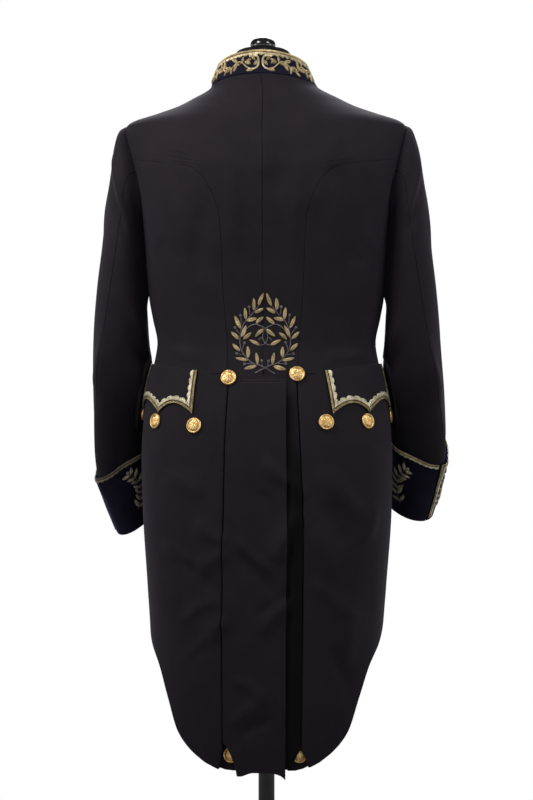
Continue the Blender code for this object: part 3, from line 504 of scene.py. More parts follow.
def finish(name, bm, finish_material, smooth_deg=40.0):
    """Makes the bmesh an object. If there is a solid of that name, it stands for it and rides with it."""
    mesh = bpy.data.meshes.new(name)
    bm.to_mesh(mesh)
    bm.free()
    mesh.materials.append(finish_material)
    mesh.shade_smooth()
    mesh.set_sharp_from_angle(angle=math.radians(smooth_deg))
    made = bpy.data.objects.new("dressed_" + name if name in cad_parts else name, mesh)
    bpy.context.scene.collection.objects.link(made)
    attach(made, "root")
    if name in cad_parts:
        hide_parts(name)
    return made


def face_outwards(bm):
    """Turns every face of a closed mesh to look out of it."""
    bmesh.ops.recalc_face_normals(bm, faces=bm.faces)
    if bm.calc_volume(signed=True) < 0.0:
        bmesh.ops.reverse_faces(bm, faces=bm.faces)


# How finely the panels are divided here, in place of the solids' counts
BACK_COLS, SEAM_ROWS, BACK_ARMHOLE_ROWS, SHOULDER_ROWS = 28, 46, 14, 18
FRONT_COLS, SIDE_ROWS, FRONT_ARMHOLE_ROWS = 34, 24, 24
SIDE_BODY_COLS, SKIRT_COLS = 26, 50
FLAP_SCALLOP_COLS, FLAP_ROWS = 22, 14
COLLAR_COLS, COLLAR_ROWS = 120, 8
CUFF_COLS, CUFF_ROWS, SLEEVE_COLS = 84, 14, 30
FORM_COLS = 96
PLEAT_FOLD_STEPS = 36
SLEEVE_RINGS = spaced(0.0, float(len(SLEEVE_ROWS)), 84)
SKIRT_STEP = 0.0062
SKIRT_HEIGHTS = [
    height for low, high in zip(SKIRT_LEVELS, SKIRT_LEVELS[1:])
    for height in spaced(low, high, math.ceil((high - low) / SKIRT_STEP))[:-1]
] + [SKIRT_LEVELS[-1]]

# Near its edge the cloth is turned in: lines of vertices at these distances, and the turned edge's radius
EDGE_LINES = (0.0004, 0.0009, 0.0016, 0.0026)
EDGE_ROUND = 0.0012
EDGE_THIN = 0.42
SEAM_SINK = 0.0001
SEAM_ALLOWANCE = 0.0055
SEAM_TUCK = 0.0030
SLEEVE_TUCK_WAY = Vector((-1.0, 0.0, 0.3))

# Soft folds of the back and the tails, seen from behind: (x, z) of both ends, width and height
FOLDS = (
    (0.004, 0.905, 0.062, 0.838, 0.012, 0.0016),
    (0.060, 0.822, 0.012, 0.750, 0.013, 0.0020),
    (-0.004, 0.640, 0.040, 0.690, 0.011, 0.0016),
    (0.000, 0.668, 0.046, 0.705, 0.008, -0.0010),
    (-0.012, 0.850, 0.030, 0.800, 0.012, -0.0009),
    (-0.105, 0.802, -0.052, 0.775, 0.012, 0.0018),
    (-0.052, 0.765, -0.100, 0.728, 0.011, 0.0017),
    (-0.150, 0.880, -0.085, 0.850, 0.014, 0.0013),
    (-0.047, 0.660, -0.082, 0.633, 0.010, 0.0017),
    (-0.130, 0.700, -0.090, 0.600, 0.015, -0.0016),
    (0.085, 0.882, 0.150, 0.822, 0.012, 0.0015),
    (0.090, 0.842, 0.128, 0.770, 0.014, -0.0010),
    (0.150, 0.772, 0.172, 0.835, 0.012, 0.0015),
    (0.080, 0.800, 0.110, 0.720, 0.014, 0.0012),
    (0.135, 0.700, 0.115, 0.590, 0.018, 0.0017),
    (-0.128, 1.368, -0.112, 1.338, 0.0065, -0.0007),
    (-0.140, 1.366, -0.124, 1.338, 0.0065, 0.0005),
    (0.110, 1.415, 0.114, 1.350, 0.009, 0.0010),
    (0.000, 1.390, 0.002, 1.330, 0.012, 0.0008),
    (0.022, 1.380, 0.028, 1.300, 0.010, -0.0008),
    (0.098, 1.345, 0.130, 1.372, 0.007, 0.0004),
    (-0.150, 1.060, -0.080, 1.048, 0.007, 0.0010),
    (0.150, 1.062, 0.085, 1.050, 0.007, 0.0010),
    (-0.165, 1.225, -0.120, 1.205, 0.010, -0.0010),
    (0.165, 1.225, 0.120, 1.205, 0.010, -0.0010),
    (-0.052, 1.370, -0.046, 1.215, 0.014, 0.0008),
    (0.056, 1.360, 0.050, 1.205, 0.014, 0.0008),
    (-0.088, 1.310, -0.100, 1.170, 0.012, -0.0009),
    (0.090, 1.300, 0.102, 1.160, 0.012, -0.0009),
    (-0.150, 0.780, -0.104, 0.742, 0.008, 0.0012),
    (-0.138, 0.752, -0.070, 0.704, 0.008, -0.0012),
    (-0.125, 0.655, -0.062, 0.690, 0.008, 0.0012),
    (-0.118, 0.605, -0.066, 0.632, 0.008, 0.0010),
    (-0.036, 0.780, 0.010, 0.730, 0.008, 0.0013),
    (-0.030, 0.760, 0.020, 0.700, 0.007, -0.0012),
    (-0.042, 0.570, 0.006, 0.548, 0.007, 0.0012),
    (-0.040, 0.500, 0.004, 0.555, 0.007, 0.0013),
    (-0.030, 0.480, 0.012, 0.520, 0.007, -0.0010),
    (0.072, 0.720, 0.140, 0.660, 0.008, 0.0010),
    (0.095, 0.620, 0.135, 0.545, 0.009, -0.0012),
)
FOLD_DEPTH = 4.0
FOLD_BEND = 0.011
FOLD_BEND_SCALE = 17.0
# Without a seed the vector noise that bends the folds starts from the clock, and differs from run to run
noise.seed_set(1)
FOLD_NOISE = 0.0008
FOLD_NOISE_SCALE = Vector((11.0, 11.0, 6.0))

# Creases of the sleeves: degrees round and ring of both ends, width in degrees and rings, and height
SLEEVE_CREASES = (
    (20.0, 2.2, 96.0, 2.9, 0.30, 0.0018),
    (25.0, 2.9, 100.0, 3.6, 0.26, -0.0013),
    (115.0, 6.2, 165.0, 6.9, 0.30, 0.0018),
    (110.0, 6.9, 160.0, 7.5, 0.26, -0.0016),
    (100.0, 7.6, 150.0, 8.2, 0.30, 0.0014),
    (30.0, 8.3, 62.0, 7.2, 0.32, 0.0018),
    (215.0, 6.4, 290.0, 6.9, 0.34, -0.0018),
    (215.0, 7.2, 290.0, 7.6, 0.30, 0.0016),
    (330.0, 3.0, 372.0, 4.5, 0.42, 0.0012),
    (150.0, 4.2, 185.0, 5.0, 0.34, 0.0013),
)
DEGREES_PER_RING = 36.0
CREASE_DEPTH = 2.4
# How many widths a crease reaches from its line, and how far it has died away at its ends
CREASE_REACH = 2.6
CREASE_END_FADE = 0.85
# The forearm's ridge on the hind seam, and the hollow beside it
ARM_RIDGE_WIDTH_DEG = 16.0
ARM_RIDGE_HEIGHT = 0.0066
ARM_HOLLOW = 0.0075
ARM_HOLLOW_DEG, ARM_HOLLOW_WIDTH_DEG = 55.0, 30.0
SLEEVE_NOISE = 0.0007


def crease(px, py, ax, ay, bx, by, width):
    """How much of a crease's height is left at a point: it dies away to both sides and towards both ends."""
    dx, dy = bx - ax, by - ay
    t = min(max(((px - ax) * dx + (py - ay) * dy) / (dx * dx + dy * dy), 0.0), 1.0)
    away = math.hypot(px - ax - dx * t, py - ay - dy * t) / width
    if away >= CREASE_REACH:
        return 0.0
    return math.exp(-away * away) * (1.0 - CREASE_END_FADE * (2.0 * t - 1.0) ** 4)


def body_folds(point):
    """How far the soft folds move a point of the coat's body, and which way."""
    lift = FOLD_NOISE * noise.noise(Vector(point) * FOLD_NOISE_SCALE)
    behind = ease(0.0, 0.05, -point.y)
    if behind > 0.0:
        at = Vector((point.x * FOLD_BEND_SCALE, point.z * FOLD_BEND_SCALE, 0.0))
        bend = noise.noise_vector(at) * FOLD_BEND
        for *ends, width, height in FOLDS:
            lift += behind * FOLD_DEPTH * height * crease(point.x + bend.x, point.z + bend.y, *ends, width)
    return Vector((point.x * 0.6, point.y, 0.0)).normalized() * lift


def sleeve_folds(degrees, ring, side):
    """How far creases lift the sleeve's cloth. The forearm has a ridge on the hind seam, hollow under it."""
    shift = 0.25 if side == "right" else 0.0
    around = math.cos(math.radians(degrees))
    lift = SLEEVE_NOISE * noise.noise(Vector((around * 1.6, shift * 9, ring * 0.7)))
    for a_deg, a_ring, b_deg, b_ring, width, height in SLEEVE_CREASES:
        for turn in (0.0, 360.0):
            lift += CREASE_DEPTH * height * crease(
                (degrees + turn) / DEGREES_PER_RING, ring - shift,
                a_deg / DEGREES_PER_RING, a_ring, b_deg / DEGREES_PER_RING, b_ring, width,
            )
    forearm = ease(6.2, 8.0, ring) * (1.0 - ease(10.6, 12.4, ring))
    past = (degrees - hind_seam(ring) + 180.0) % 360.0 - 180.0
    lift += ARM_RIDGE_HEIGHT * forearm * math.exp(-((past / ARM_RIDGE_WIDTH_DEG) ** 2))
    lift -= ARM_HOLLOW * forearm * math.exp(-(((past - ARM_HOLLOW_DEG) / ARM_HOLLOW_WIDTH_DEG) ** 2))
    return lift * ease(0.0, 0.6, ring) * (1.0 - ease(11.2, 12.6, ring))


def placed(point, facing, mirror, lift=0.0):
    """A point of the coat's body on its own side, moved with the folds, and the way its cloth faces."""
    set_down = settled(point + facing * lift, mirror)
    return set_down + body_folds(set_down), Vector((facing.x * mirror, facing.y, facing.z))


def edge_lines(values, gap):
    """More lines of an array close to both ends of its first axis."""
    shares = [min(d / gap, 0.3 + 0.12 * k) for k, d in enumerate(EDGE_LINES)]
    first = [values[0] + (values[1] - values[0]) * t for t in shares]
    last = [values[-1] + (values[-2] - values[-1]) * t for t in reversed(shares)]
    return np.concatenate([values[:1], first, values[1:-1], last, values[-1:]])


def run_lengths(points):
    """Length along an array's first axis, from its start."""
    steps = np.linalg.norm(np.diff(points, axis=0), axis=2)
    return np.concatenate([np.zeros((1, points.shape[1])), np.cumsum(steps, axis=0)])


def round_edges(points, thickness, open_edges=(True, True)):
    """How thick the cloth is at each point, thinner where its edge is turned in."""
    away = np.full(points.shape[:2], 1.0)
    for axis, rounded in enumerate(open_edges):
        if rounded:
            runs = run_lengths(points if axis == 0 else points.swapaxes(0, 1))
            near = np.minimum(runs, runs[-1] - runs)
            away = np.minimum(away, near if axis == 0 else near.T)
    share = np.sqrt(1.0 - (1.0 - np.clip(away / EDGE_ROUND, 0.0, 1.0)) ** 2)
    return thickness * (EDGE_THIN + (1.0 - EDGE_THIN) * share), share


def note_sheet(points):
    """Works out the size the piece was cut to: its longest row, longest column and area, which are not kept.
    """
    lengths, widths = run_lengths(points)[-1], run_lengths(points.swapaxes(0, 1))[-1]
    a, b = points[1:, :-1] - points[:-1, 1:], points[1:, 1:] - points[:-1, :-1]
    area = 0.5 * np.linalg.norm(np.cross(a, b), axis=2).sum()


def cloth(name, grid, thickness, finish_material, mirror=1.0, folds=True):
    """A wall of cloth with turned edges. The grid holds the points of its middle and the way each faces."""
    points = np.array([[tuple(point) for point, _ in row] for row in grid])
    facings = np.array([[tuple(facing) for _, facing in row] for row in grid])
    for axis in (0, 1):
        gap = float(np.median(np.linalg.norm(np.diff(points, axis=axis), axis=2)))
        points, facings = (
            edge_lines(part.swapaxes(0, axis), gap).swapaxes(0, axis) for part in (points, facings)
        )
    facings /= np.linalg.norm(facings, axis=2, keepdims=True)
    walls, share = round_edges(points, thickness)
    points = points - facings * (SEAM_SINK * (1.0 - share))[..., None]
    note_sheet(points)
    across_run, up_run = run_lengths(points.swapaxes(0, 1)).T, run_lengths(points)
    bm = bmesh.new()
    across, up = numbered_grid(bm, points.shape[1] - 1, points.shape[0] - 1)
    outer = set(bm.verts)
    bmesh.ops.extrude_face_region(bm, geom=bm.faces[:], use_keep_orig=True)
    uv = bm.loops.layers.uv.new("cut")
    for vert in bm.verts:
        j, i = vert[up], vert[across]
        side = 0.5 if vert in outer else -0.5
        at = Vector(points[j, i]) + Vector(facings[j, i]) * float(walls[j, i]) * side
        vert.co = placed(at, Vector(facings[j, i]), mirror)[0] if folds else settled(at, mirror)
    for face in bm.faces:
        for loop in face.loops:
            j, i = loop.vert[up], loop.vert[across]
            loop[uv].uv = (across_run[j, i], up_run[j, i])
    face_outwards(bm)
    return finish(name, bm, finish_material, 70.0)


def tucked(grid, end, onward):
    """A grid with one more row past its first (0) or last (-1), which runs on under the next piece."""
    row = [(point + onward * SEAM_ALLOWANCE - facing * SEAM_TUCK, facing) for point, facing in grid[end]]
    return [row, *grid] if end == 0 else [*grid, row]


def panel(name, places, side, finish_material, lift=None):
    """A body panel from (turn, height) places. lift gives how far its outer face stands off the coat's."""
    grid = []
    for row in places:
        grid.append([
            on_body(turn, height, (lift(turn, height) if lift else 0.0) - CLOTH / 2)
            for turn, height in row
        ])
    return cloth(name, trimmed(grid), CLOTH, finish_material, SIDES[side])


def side_back_seam():
    """Places up the curved seam, from the waist to the armhole."""
    join = armhole(math.radians(SIDE_BACK_AT_ARMHOLE_DEG))
    rows = [(z, turn_at(x, z)) for z, x in SIDE_BACK_ROWS[:-1]] + [(join[1], join[0])]
    seam = numbered("height turn", rows)
    return [(seam.at(k, "turn"), seam.at(k, "height")) for k in spaced(0.0, len(rows) - 1.0, SEAM_ROWS)]


def shoulder_seam():
    """Places from the tip to the neck, along the ridge."""
    low = ARMHOLE_HEIGHT + ARMHOLE_HALF
    return [(math.pi / 2, z) for z in spaced(low, neckline(math.pi / 2), SHOULDER_ROWS)]


def back_panel(side, finish_material):
    """One back, from the nape to the hem, with its half of the vent."""
    over = side == "left"
    lap = -VENT_LAP if over else -VENT_UNDERLAP
    mouth, opens = PLEAT_MOUTH_AT_HEM[side][0], BACK_MOUTH_HEIGHT[side]

    heights = (*[z for z in SKIRT_HEIGHTS if z < VENT_TOP - VENT_TOP_CLEAR], VENT_TOP)
    skirt_left = [(turn_at(lap, z), z) for z in heights]
    skirt_right = [
        (turn_at(PLEAT.at(z, "from_centre") - pleat_mouth(z, mouth, opens), z) - PLEAT_LINE_GAP, z)
        for z in heights
    ]

    seam = side_back_seam()
    start = math.radians(SIDE_BACK_AT_ARMHOLE_DEG)
    arm = [armhole(a) for a in spaced(start, math.pi, BACK_ARMHOLE_ROWS)][1:]
    right = seam + arm + shoulder_seam()[1:]
    centre_heights = (
        spaced(WAIST_HEIGHT, BACK_BREAKS[0], SEAM_ROWS)
        + spaced(*BACK_BREAKS, BACK_ARMHOLE_ROWS)[1:]
        + spaced(BACK_BREAKS[1], NAPE_HEIGHT, SHOULDER_ROWS)[1:]
    )
    left = [(0.0, z) for z in centre_heights]

    left, right = skirt_left + left, skirt_right + right
    bottom = [
        (turn, HEM[side].at(body_point(turn, HEM_HEIGHT).x, "height"))
        for turn in spaced(left[0][0], right[0][0], BACK_COLS)
    ]
    left[0], right[0] = bottom[0], bottom[-1]
    top = [(turn, neckline(turn)) for turn in spaced(0.0, math.pi / 2, BACK_COLS)]
    places = coons(left, right, bottom, top)
    return panel("back_" + side, places, side, finish_material, None if over else back_under)


def back_under(turn, height):
    """How far the right back lies under the left one, at the vent."""
    x = body_point(turn, height).x
    return -UNDER_DEPTH * (1 - ease(*BACK_STEP, x)) * (1 - ease(*BACK_STEP_END, height))


def pleat_mouth(height, at_hem, opens):
    """How far the pleat stands open to one side, near the hem."""
    shut = min(max((height - HEM_HEIGHT) / opens, 0.0), 1.0)
    return at_hem * (1 - shut) ** PLEAT_MOUTH_POWER


def side_body(side, finish_material):
    """The panel between the curved back seam and the side seam."""
    left = side_back_seam()
    start = math.radians(SIDE_BACK_AT_ARMHOLE_DEG)
    low, high = waistline(math.pi / 2), ARMHOLE_HEIGHT - ARMHOLE_HALF
    right = [(math.pi / 2, z) for z in spaced(low, high, SEAM_ROWS)]
    corner = turn_at(SIDE_BACK_FOOT, waistline(left[0][0]))
    bottom = [(turn, waistline(turn)) for turn in spaced(corner, math.pi / 2, SIDE_BODY_COLS)]
    left[0] = bottom[0]
    top = [armhole(a) for a in spaced(start, 0.0, SIDE_BODY_COLS)]
    return panel("side_body_" + side, coons(left, right, bottom, top), side, finish_material)


def front_turns(height, lap):
    """Turns from the side seam to the front edge, with a column each side of the step under the lap."""
    near, far = FRONT_STEP
    return spaced(math.pi / 2, front_turn_at(far, height), FRONT_COLS - 3) + [
        front_turn_at(near, height), front_turn_at((near + lap) / 2, height), front_turn_at(lap, height),
    ]


def forepart(side, finish_material):
    """One front, closed to the throat, the left lapping over the right."""
    over = side == "left"
    lap = -FRONT_LAP if over else -FRONT_UNDERLAP
    arm = [armhole(2 * math.pi - a) for a in spaced(0.0, math.pi, FRONT_ARMHOLE_ROWS)]
    seam = [(math.pi / 2, z) for z in spaced(waistline(math.pi / 2), arm[0][1], SIDE_ROWS)]
    left = seam + arm[1:] + shoulder_seam()[1:]
    low, high = waistline(math.pi), neckline(math.pi)
    right = [(front_turn_at(lap, z), z) for z in (
        spaced(low, FRONT_BREAKS[0], SIDE_ROWS)
        + spaced(*FRONT_BREAKS, FRONT_ARMHOLE_ROWS)[1:]
        + spaced(FRONT_BREAKS[1], high, SHOULDER_ROWS)[1:]
    )]
    bottom_turns = front_turns(low, lap)
    top_turns = front_turns(high, lap)
    shares = [(turn - bottom_turns[0]) / (bottom_turns[-1] - bottom_turns[0]) for turn in bottom_turns]
    bottom = [(turn, waistline(turn)) for turn in bottom_turns]
    top = [(turn, neckline(turn)) for turn in top_turns]
    places = coons(left, right, bottom, top, shares)
    return panel("forepart_" + side, places, side, finish_material, None if over else front_under)


def front_under(turn, height):
    """How far the right front lies under the left one."""
    return -UNDER_DEPTH * (1 - ease(*FRONT_STEP, body_point(turn, height).x))


def pleat_depth(depth, height):
    """A depth from the fold's table as it is at that height: the pleat is pressed flatter at the waist."""
    share = ease(HEM_HEIGHT, WAIST_HEIGHT, height)
    deep = PLEAT_DEPTH_AT_HEM + (PLEAT_DEPTH_AT_WAIST - PLEAT_DEPTH_AT_HEM) * share
    return CLOTH / 2 + (depth - CLOTH / 2) * deep


def pleat_rows(height):
    """The folded pleat at one height, each place as (along the ring, depth, and the cloth's two facings)."""
    steps = spaced(0.0, len(PLEAT_FOLD_ROWS) - 1.0, PLEAT_FOLD_STEPS)
    points = [(FOLD.at(k, "along"), pleat_depth(FOLD.at(k, "depth"), height)) for k in steps]
    found = []
    for k, (along, depth) in enumerate(points):
        before, after = points[max(k - 1, 0)], points[min(k + 1, len(points) - 1)]
        across, down = after[0] - before[0], after[1] - before[1]
        length = math.hypot(across, down)
        # Turning the run of the fold a quarter gives the way that the outer face looks
        found.append((along, depth, down / length, across / length))
    return found


def fold_height(turn, height):
    """A height in the folded pleat, whose foot is cut to the hem's curve."""
    level = HEM["skirt"].at(PLEAT_ROWS[0][1], "height")
    foot = HEM["skirt"].at(body_point(turn, HEM_HEIGHT).x, "height")
    return height + (foot - level) * (1 - ease(level, PLEAT_CUT_TOP, height))


def skirt(side, finish_material):
    """One skirt, from its pleat round the hip to the cut-away front edge."""
    rows = len(SKIRT_HEIGHTS) - 1
    mouth = PLEAT_MOUTH_AT_HEM[side][1]
    line = []
    for z in SKIRT_HEIGHTS:
        x = PLEAT.at(z, "from_centre") + pleat_mouth(z, mouth, PLEAT_MOUTH_HEIGHT)
        line.append((turn_at(x, z) + PLEAT_NOSE, z))
    steps = spaced(0.0, len(FRONT_EDGE_ROWS) - 1.0, rows)
    edge = [(math.radians(FRONT_EDGE.at(k, "degrees")), FRONT_EDGE.at(k, "height")) for k in steps]
    fold_end = PLEAT_FOLD_ROWS[-1][0]
    left = []
    for turn, z in line:
        at = turn + fold_end / round_rate(turn, z)
        left.append((at, fold_height(at, z)))
    bottom = [
        (turn, HEM["skirt"].at(body_point(turn, HEM_HEIGHT).x, "height"))
        for turn in spaced(left[0][0], edge[0][0], SKIRT_COLS)
    ]
    line[0] = (line[0][0], HEM["skirt"].at(PLEAT_ROWS[0][1], "height"))
    left[0], bottom[-1] = bottom[0], edge[0]
    top = [(turn, waistline(turn) - SKIRT_DROP) for turn in spaced(left[-1][0], edge[-1][0], SKIRT_COLS)]
    left[-1], edge[-1] = top[0], top[-1]
    places = coons(left, edge, bottom, top)
    grid = []
    for j in range(rows + 1):
        turn, z = line[j]
        rate = round_rate(turn, z)
        row = []
        for along, depth, tilt_around, tilt_out in pleat_rows(z)[:-1]:
            at = turn + along / rate
            height = fold_height(at, z)
            around, outward = body_frame(at, height)
            facing = around * tilt_around + outward * tilt_out
            row.append((body_point(at, height) - outward * depth, facing))
        row += [on_body(a, h, -CLOTH / 2) for a, h in places[j]]
        grid.append(row)
    grid = tucked(trimmed(grid), -1, Vector((0.0, 0.0, 1.0)))
    return cloth("skirt_" + side, grid, CLOTH, finish_material, SIDES[side])


def round_rate(turn, height):
    """Metres round the ring for each radian of turn."""
    step = 0.01
    return (body_point(turn + step, height) - body_point(turn - step, height)).length / (2 * step)


def flap_outline(side):
    """Places along the flap's scalloped lower edge, and along its top."""
    points = [(math.radians(deg), z) for deg, z in zip(FLAP_POINT_TURNS_DEG, FLAP_POINT_HEIGHTS)]
    low = []
    for (a, a_height), (b, b_height) in zip(points, points[1:]):
        for t in spaced(0.0, 1.0, FLAP_SCALLOP_COLS)[:-1]:
            rise = FLAP_SCALLOP_RISE * math.sin(math.pi * t) ** 0.8
            low.append((a + (b - a) * t, a_height + (b_height - a_height) * t + rise))
    low.append(points[-1])
    rear = turn_at(FLAP_REAR_X[side], waistline(points[0][0]))
    high = [
        (turn, waistline(turn) - FLAP_TOP_DROP)
        for turn in spaced(rear, points[-1][0] + FLAP_FRONT_SLANT, len(low) - 1)
    ]
    return low, high


def flap(side, finish_material):
    """The pocket flap, lying on the skirt."""
    low, high = flap_outline(side)
    lift = LAYER_GAP + FLAP_THICK / 2
    grid = [
        [
            on_body(a + (c - a) * v, b + (d - b) * v, lift)
            for (a, b), (c, d) in zip(low, high)
        ]
        for v in spaced(0.0, 1.0, FLAP_ROWS)
    ]
    return cloth("flap_" + side, grid, FLAP_THICK, finish_material, SIDES[side])


COLLAR_REACH = math.pi - COLLAR_FRONT_GAP


def collar_tall(turn):
    """How tall the collar stands."""
    corner = ease(COLLAR_CORNER_FROM, math.pi, abs(turn))
    return COLLAR_HEIGHT - COLLAR_FRONT_DROP * abs(math.sin(turn / 2)) - COLLAR_CORNER_DROP * corner


def collar(finish_material):
    """The stand collar, meeting at the throat, with rounded front corners."""
    grid = [
        [
            on_body(turn, neckline(turn) + LAYER_GAP + collar_tall(turn) * v, -VELVET / 2)
            for turn in spaced(-COLLAR_REACH, COLLAR_REACH, COLLAR_COLS)
        ]
        for v in spaced(0.0, 1.0, COLLAR_ROWS)
    ]
    return cloth("collar", grid, VELVET, finish_material)


HEAD_ROLL = (0.5, 1.5)


def sleeve_point(around, ring, side):
    """The sleeve's outer face. around is 0 at the outer edge and 90 degrees at the back.

    Its head rolls over from the armhole into the first rings.
    """
    if ring >= HEAD_ROLL[1]:
        return ring_point(around, ring, side)
    head, _ = on_body(*armhole(math.pi - around), LAYER_GAP)
    first = ring_point(around, 1.0, side)
    if ring <= HEAD_ROLL[0]:
        return head.lerp(first, ring)
    t = ring - HEAD_ROLL[0]
    second = ring_point(around, HEAD_ROLL[1], side)
    return head.lerp(first, HEAD_ROLL[0]).lerp(first, t).lerp(first.lerp(second, t), t)


def ring_point(around, ring, side):
    """A point of one ring round the arm, pressed clear of the coat's side."""
    at = {name: SLEEVE.at(ring - 1.0, name) for name in SLEEVE_COLUMNS.split()}
    share = ease(RAISE_STARTS_AT_RING, len(SLEEVE_ROWS), ring)
    inner_raise, outer_raise = (raised * share for raised in SLEEVE_RAISE[side])
    out = SLEEVE_OUT[side] * ease(RAISE_STARTS_AT_RING, OUT_ENDS_AT_RING, ring)
    wrist = WRIST_OUT[side] * ease(*WRIST_RINGS, ring)
    inner = Vector((at["inner_x"] + out / 2, at["centre_y"], at["inner_z"] + inner_raise))
    outer = Vector((at["outer_x"] + out + wrist, at["centre_y"], at["outer_z"] + outer_raise))
    bend = math.radians(at["bend_deg"])
    deep = Vector((0.0, math.cos(bend), math.sin(bend))) * at["half_depth"]
    point = (inner + outer) / 2 + (outer - inner) / 2 * math.cos(around) - deep * math.sin(around)
    return pressed(point)


def pressed(point):
    """A sleeve's point moved out where it would touch the coat's side, its flap or the button there."""
    over_flap = ease(*FLAP_ZONE_TOP, point.z) * ease(*FLAP_ZONE_FOOT, point.z)
    close = ease(*ARMPIT_FROM, point.z) * (1.0 - ease(*ARMPIT_TO, point.z))
    at_flap = over_flap * (FLAP_ROOM + BUTTON_ROOM * ease(*BUTTON_ZONE, point.y))
    room = ARM_ROOM * (1.0 - 0.85 * close) + at_flap
    power = BODY.at(point.z, "squareness")
    depth = BODY.at(point.z, "back" if point.y < 0.0 else "front") + room
    share = max(1.0 - (abs(point.y) / depth) ** power, 0.0) ** (1.0 / power)
    wall = (BODY.at(point.z, "half_width") + room) * share
    soft = ARM_SOFT * (1.0 - 0.8 * close)
    x = point.x - ARMPIT_PRESS * close * (1.0 - ease(0.0, ARMPIT_REACH, point.x - wall))
    # The greater of the two, rounded where they meet
    clear = (x + wall + math.hypot(x - wall, soft)) / 2
    return Vector((clear, point.y, point.z))


def on_sleeve(around, ring, side, lift):
    """A point that far outside the sleeve's face, with the way that face looks."""
    step = 0.05
    low, high = max(ring - step, 0.0), min(ring + step, float(len(SLEEVE_ROWS)))
    down = sleeve_point(around, high, side) - sleeve_point(around, low, side)
    across = sleeve_point(around + step, ring, side) - sleeve_point(around - step, ring, side)
    outward = across.cross(down).normalized()
    lift += sleeve_folds(math.degrees(around), ring, side)
    return sleeve_point(around, ring, side) + outward * lift, outward


def hind_seam(ring):
    """Where the back seam of the sleeve runs: it turns outwards on its way to the wrist."""
    return HIND_SEAM_DEG - HIND_SEAM_TWIST_DEG * ease(*TWIST_RINGS, ring)


def sleeve_piece(name, side, end_deg, finish_material):
    """The top or under sleeve, from the hind seam to the fore seam."""
    grid = [
        [
            on_sleeve(math.radians(deg), ring, side, -CLOTH / 2)
            for deg in spaced(hind_seam(ring), end_deg, SLEEVE_COLS)
        ]
        for ring in SLEEVE_RINGS
    ]
    return cloth(name, tucked(trimmed(grid), 0, SLEEVE_TUCK_WAY), CLOTH, finish_material, SIDES[side], False)


def on_cuff(degrees, share, side, lift):
    """A point of the cuff's middle, lifted off it. share is 0 at its lower edge and 1 at the top."""
    end = float(len(SLEEVE_ROWS))
    around = math.radians(degrees)
    lowest = math.radians(CUFF_LOWEST_DEG[side])
    top = CUFF_TOP_RING[side] + CUFF_TOP_DROP[side] * ((1 + math.cos(around - lowest)) / 2) ** 2
    lift += CUFF_GAP + VELVET / 2 + CUFF_FLARE * share * share
    point, outward = on_sleeve(around, end + (top - end) * share, side, lift)
    if share < 1e-6:
        above, _ = on_sleeve(around, end - 0.1, side, lift)
        point += (point - above).normalized() * CUFF_OVERHANG
    return point, outward


def cuff_ends(side):
    """Where the cuff's opening starts and stops, in degrees round the wrist."""
    slit = hind_seam(float(len(SLEEVE_ROWS))) + CUFF_OPENING_TURN_DEG[side]
    return slit + CUFF_SLIT_DEG, slit + 360.0 - CUFF_SLIT_DEG


def cuff(side, finish_material):
    """The turned-back cuff round the wrist, open at the hind seam."""
    grid = [
        [on_cuff(deg, v, side, 0.0) for deg in spaced(*cuff_ends(side), CUFF_COLS)]
        for v in spaced(0.0, 1.0, CUFF_ROWS)
    ]
    return cloth("cuff_" + side, grid, VELVET, finish_material, SIDES[side], False)


class Signal:
    """A node's output that sums and products can be written with."""

    def __init__(self, paint, socket):
        self.paint, self.socket = paint, socket

    def __add__(self, other):
        return self.paint.math("ADD", self, other)

    def __sub__(self, other):
        return self.paint.math("SUBTRACT", self, other)

    def __rsub__(self, other):
        return self.paint.math("SUBTRACT", other, self)

    def __mul__(self, other):
        return self.paint.math("MULTIPLY", self, other)

    __radd__ = __add__
    __rmul__ = __mul__

    def sine(self):
        return self.paint.math("SINE", self)

    def between(self, low, high):
        """0 below low and 1 above high."""
        return self.paint.node(
            "ShaderNodeMapRange", {"interpolation_type": "SMOOTHSTEP"},
            {"Value": self, "From Min": low, "From Max": high},
        )


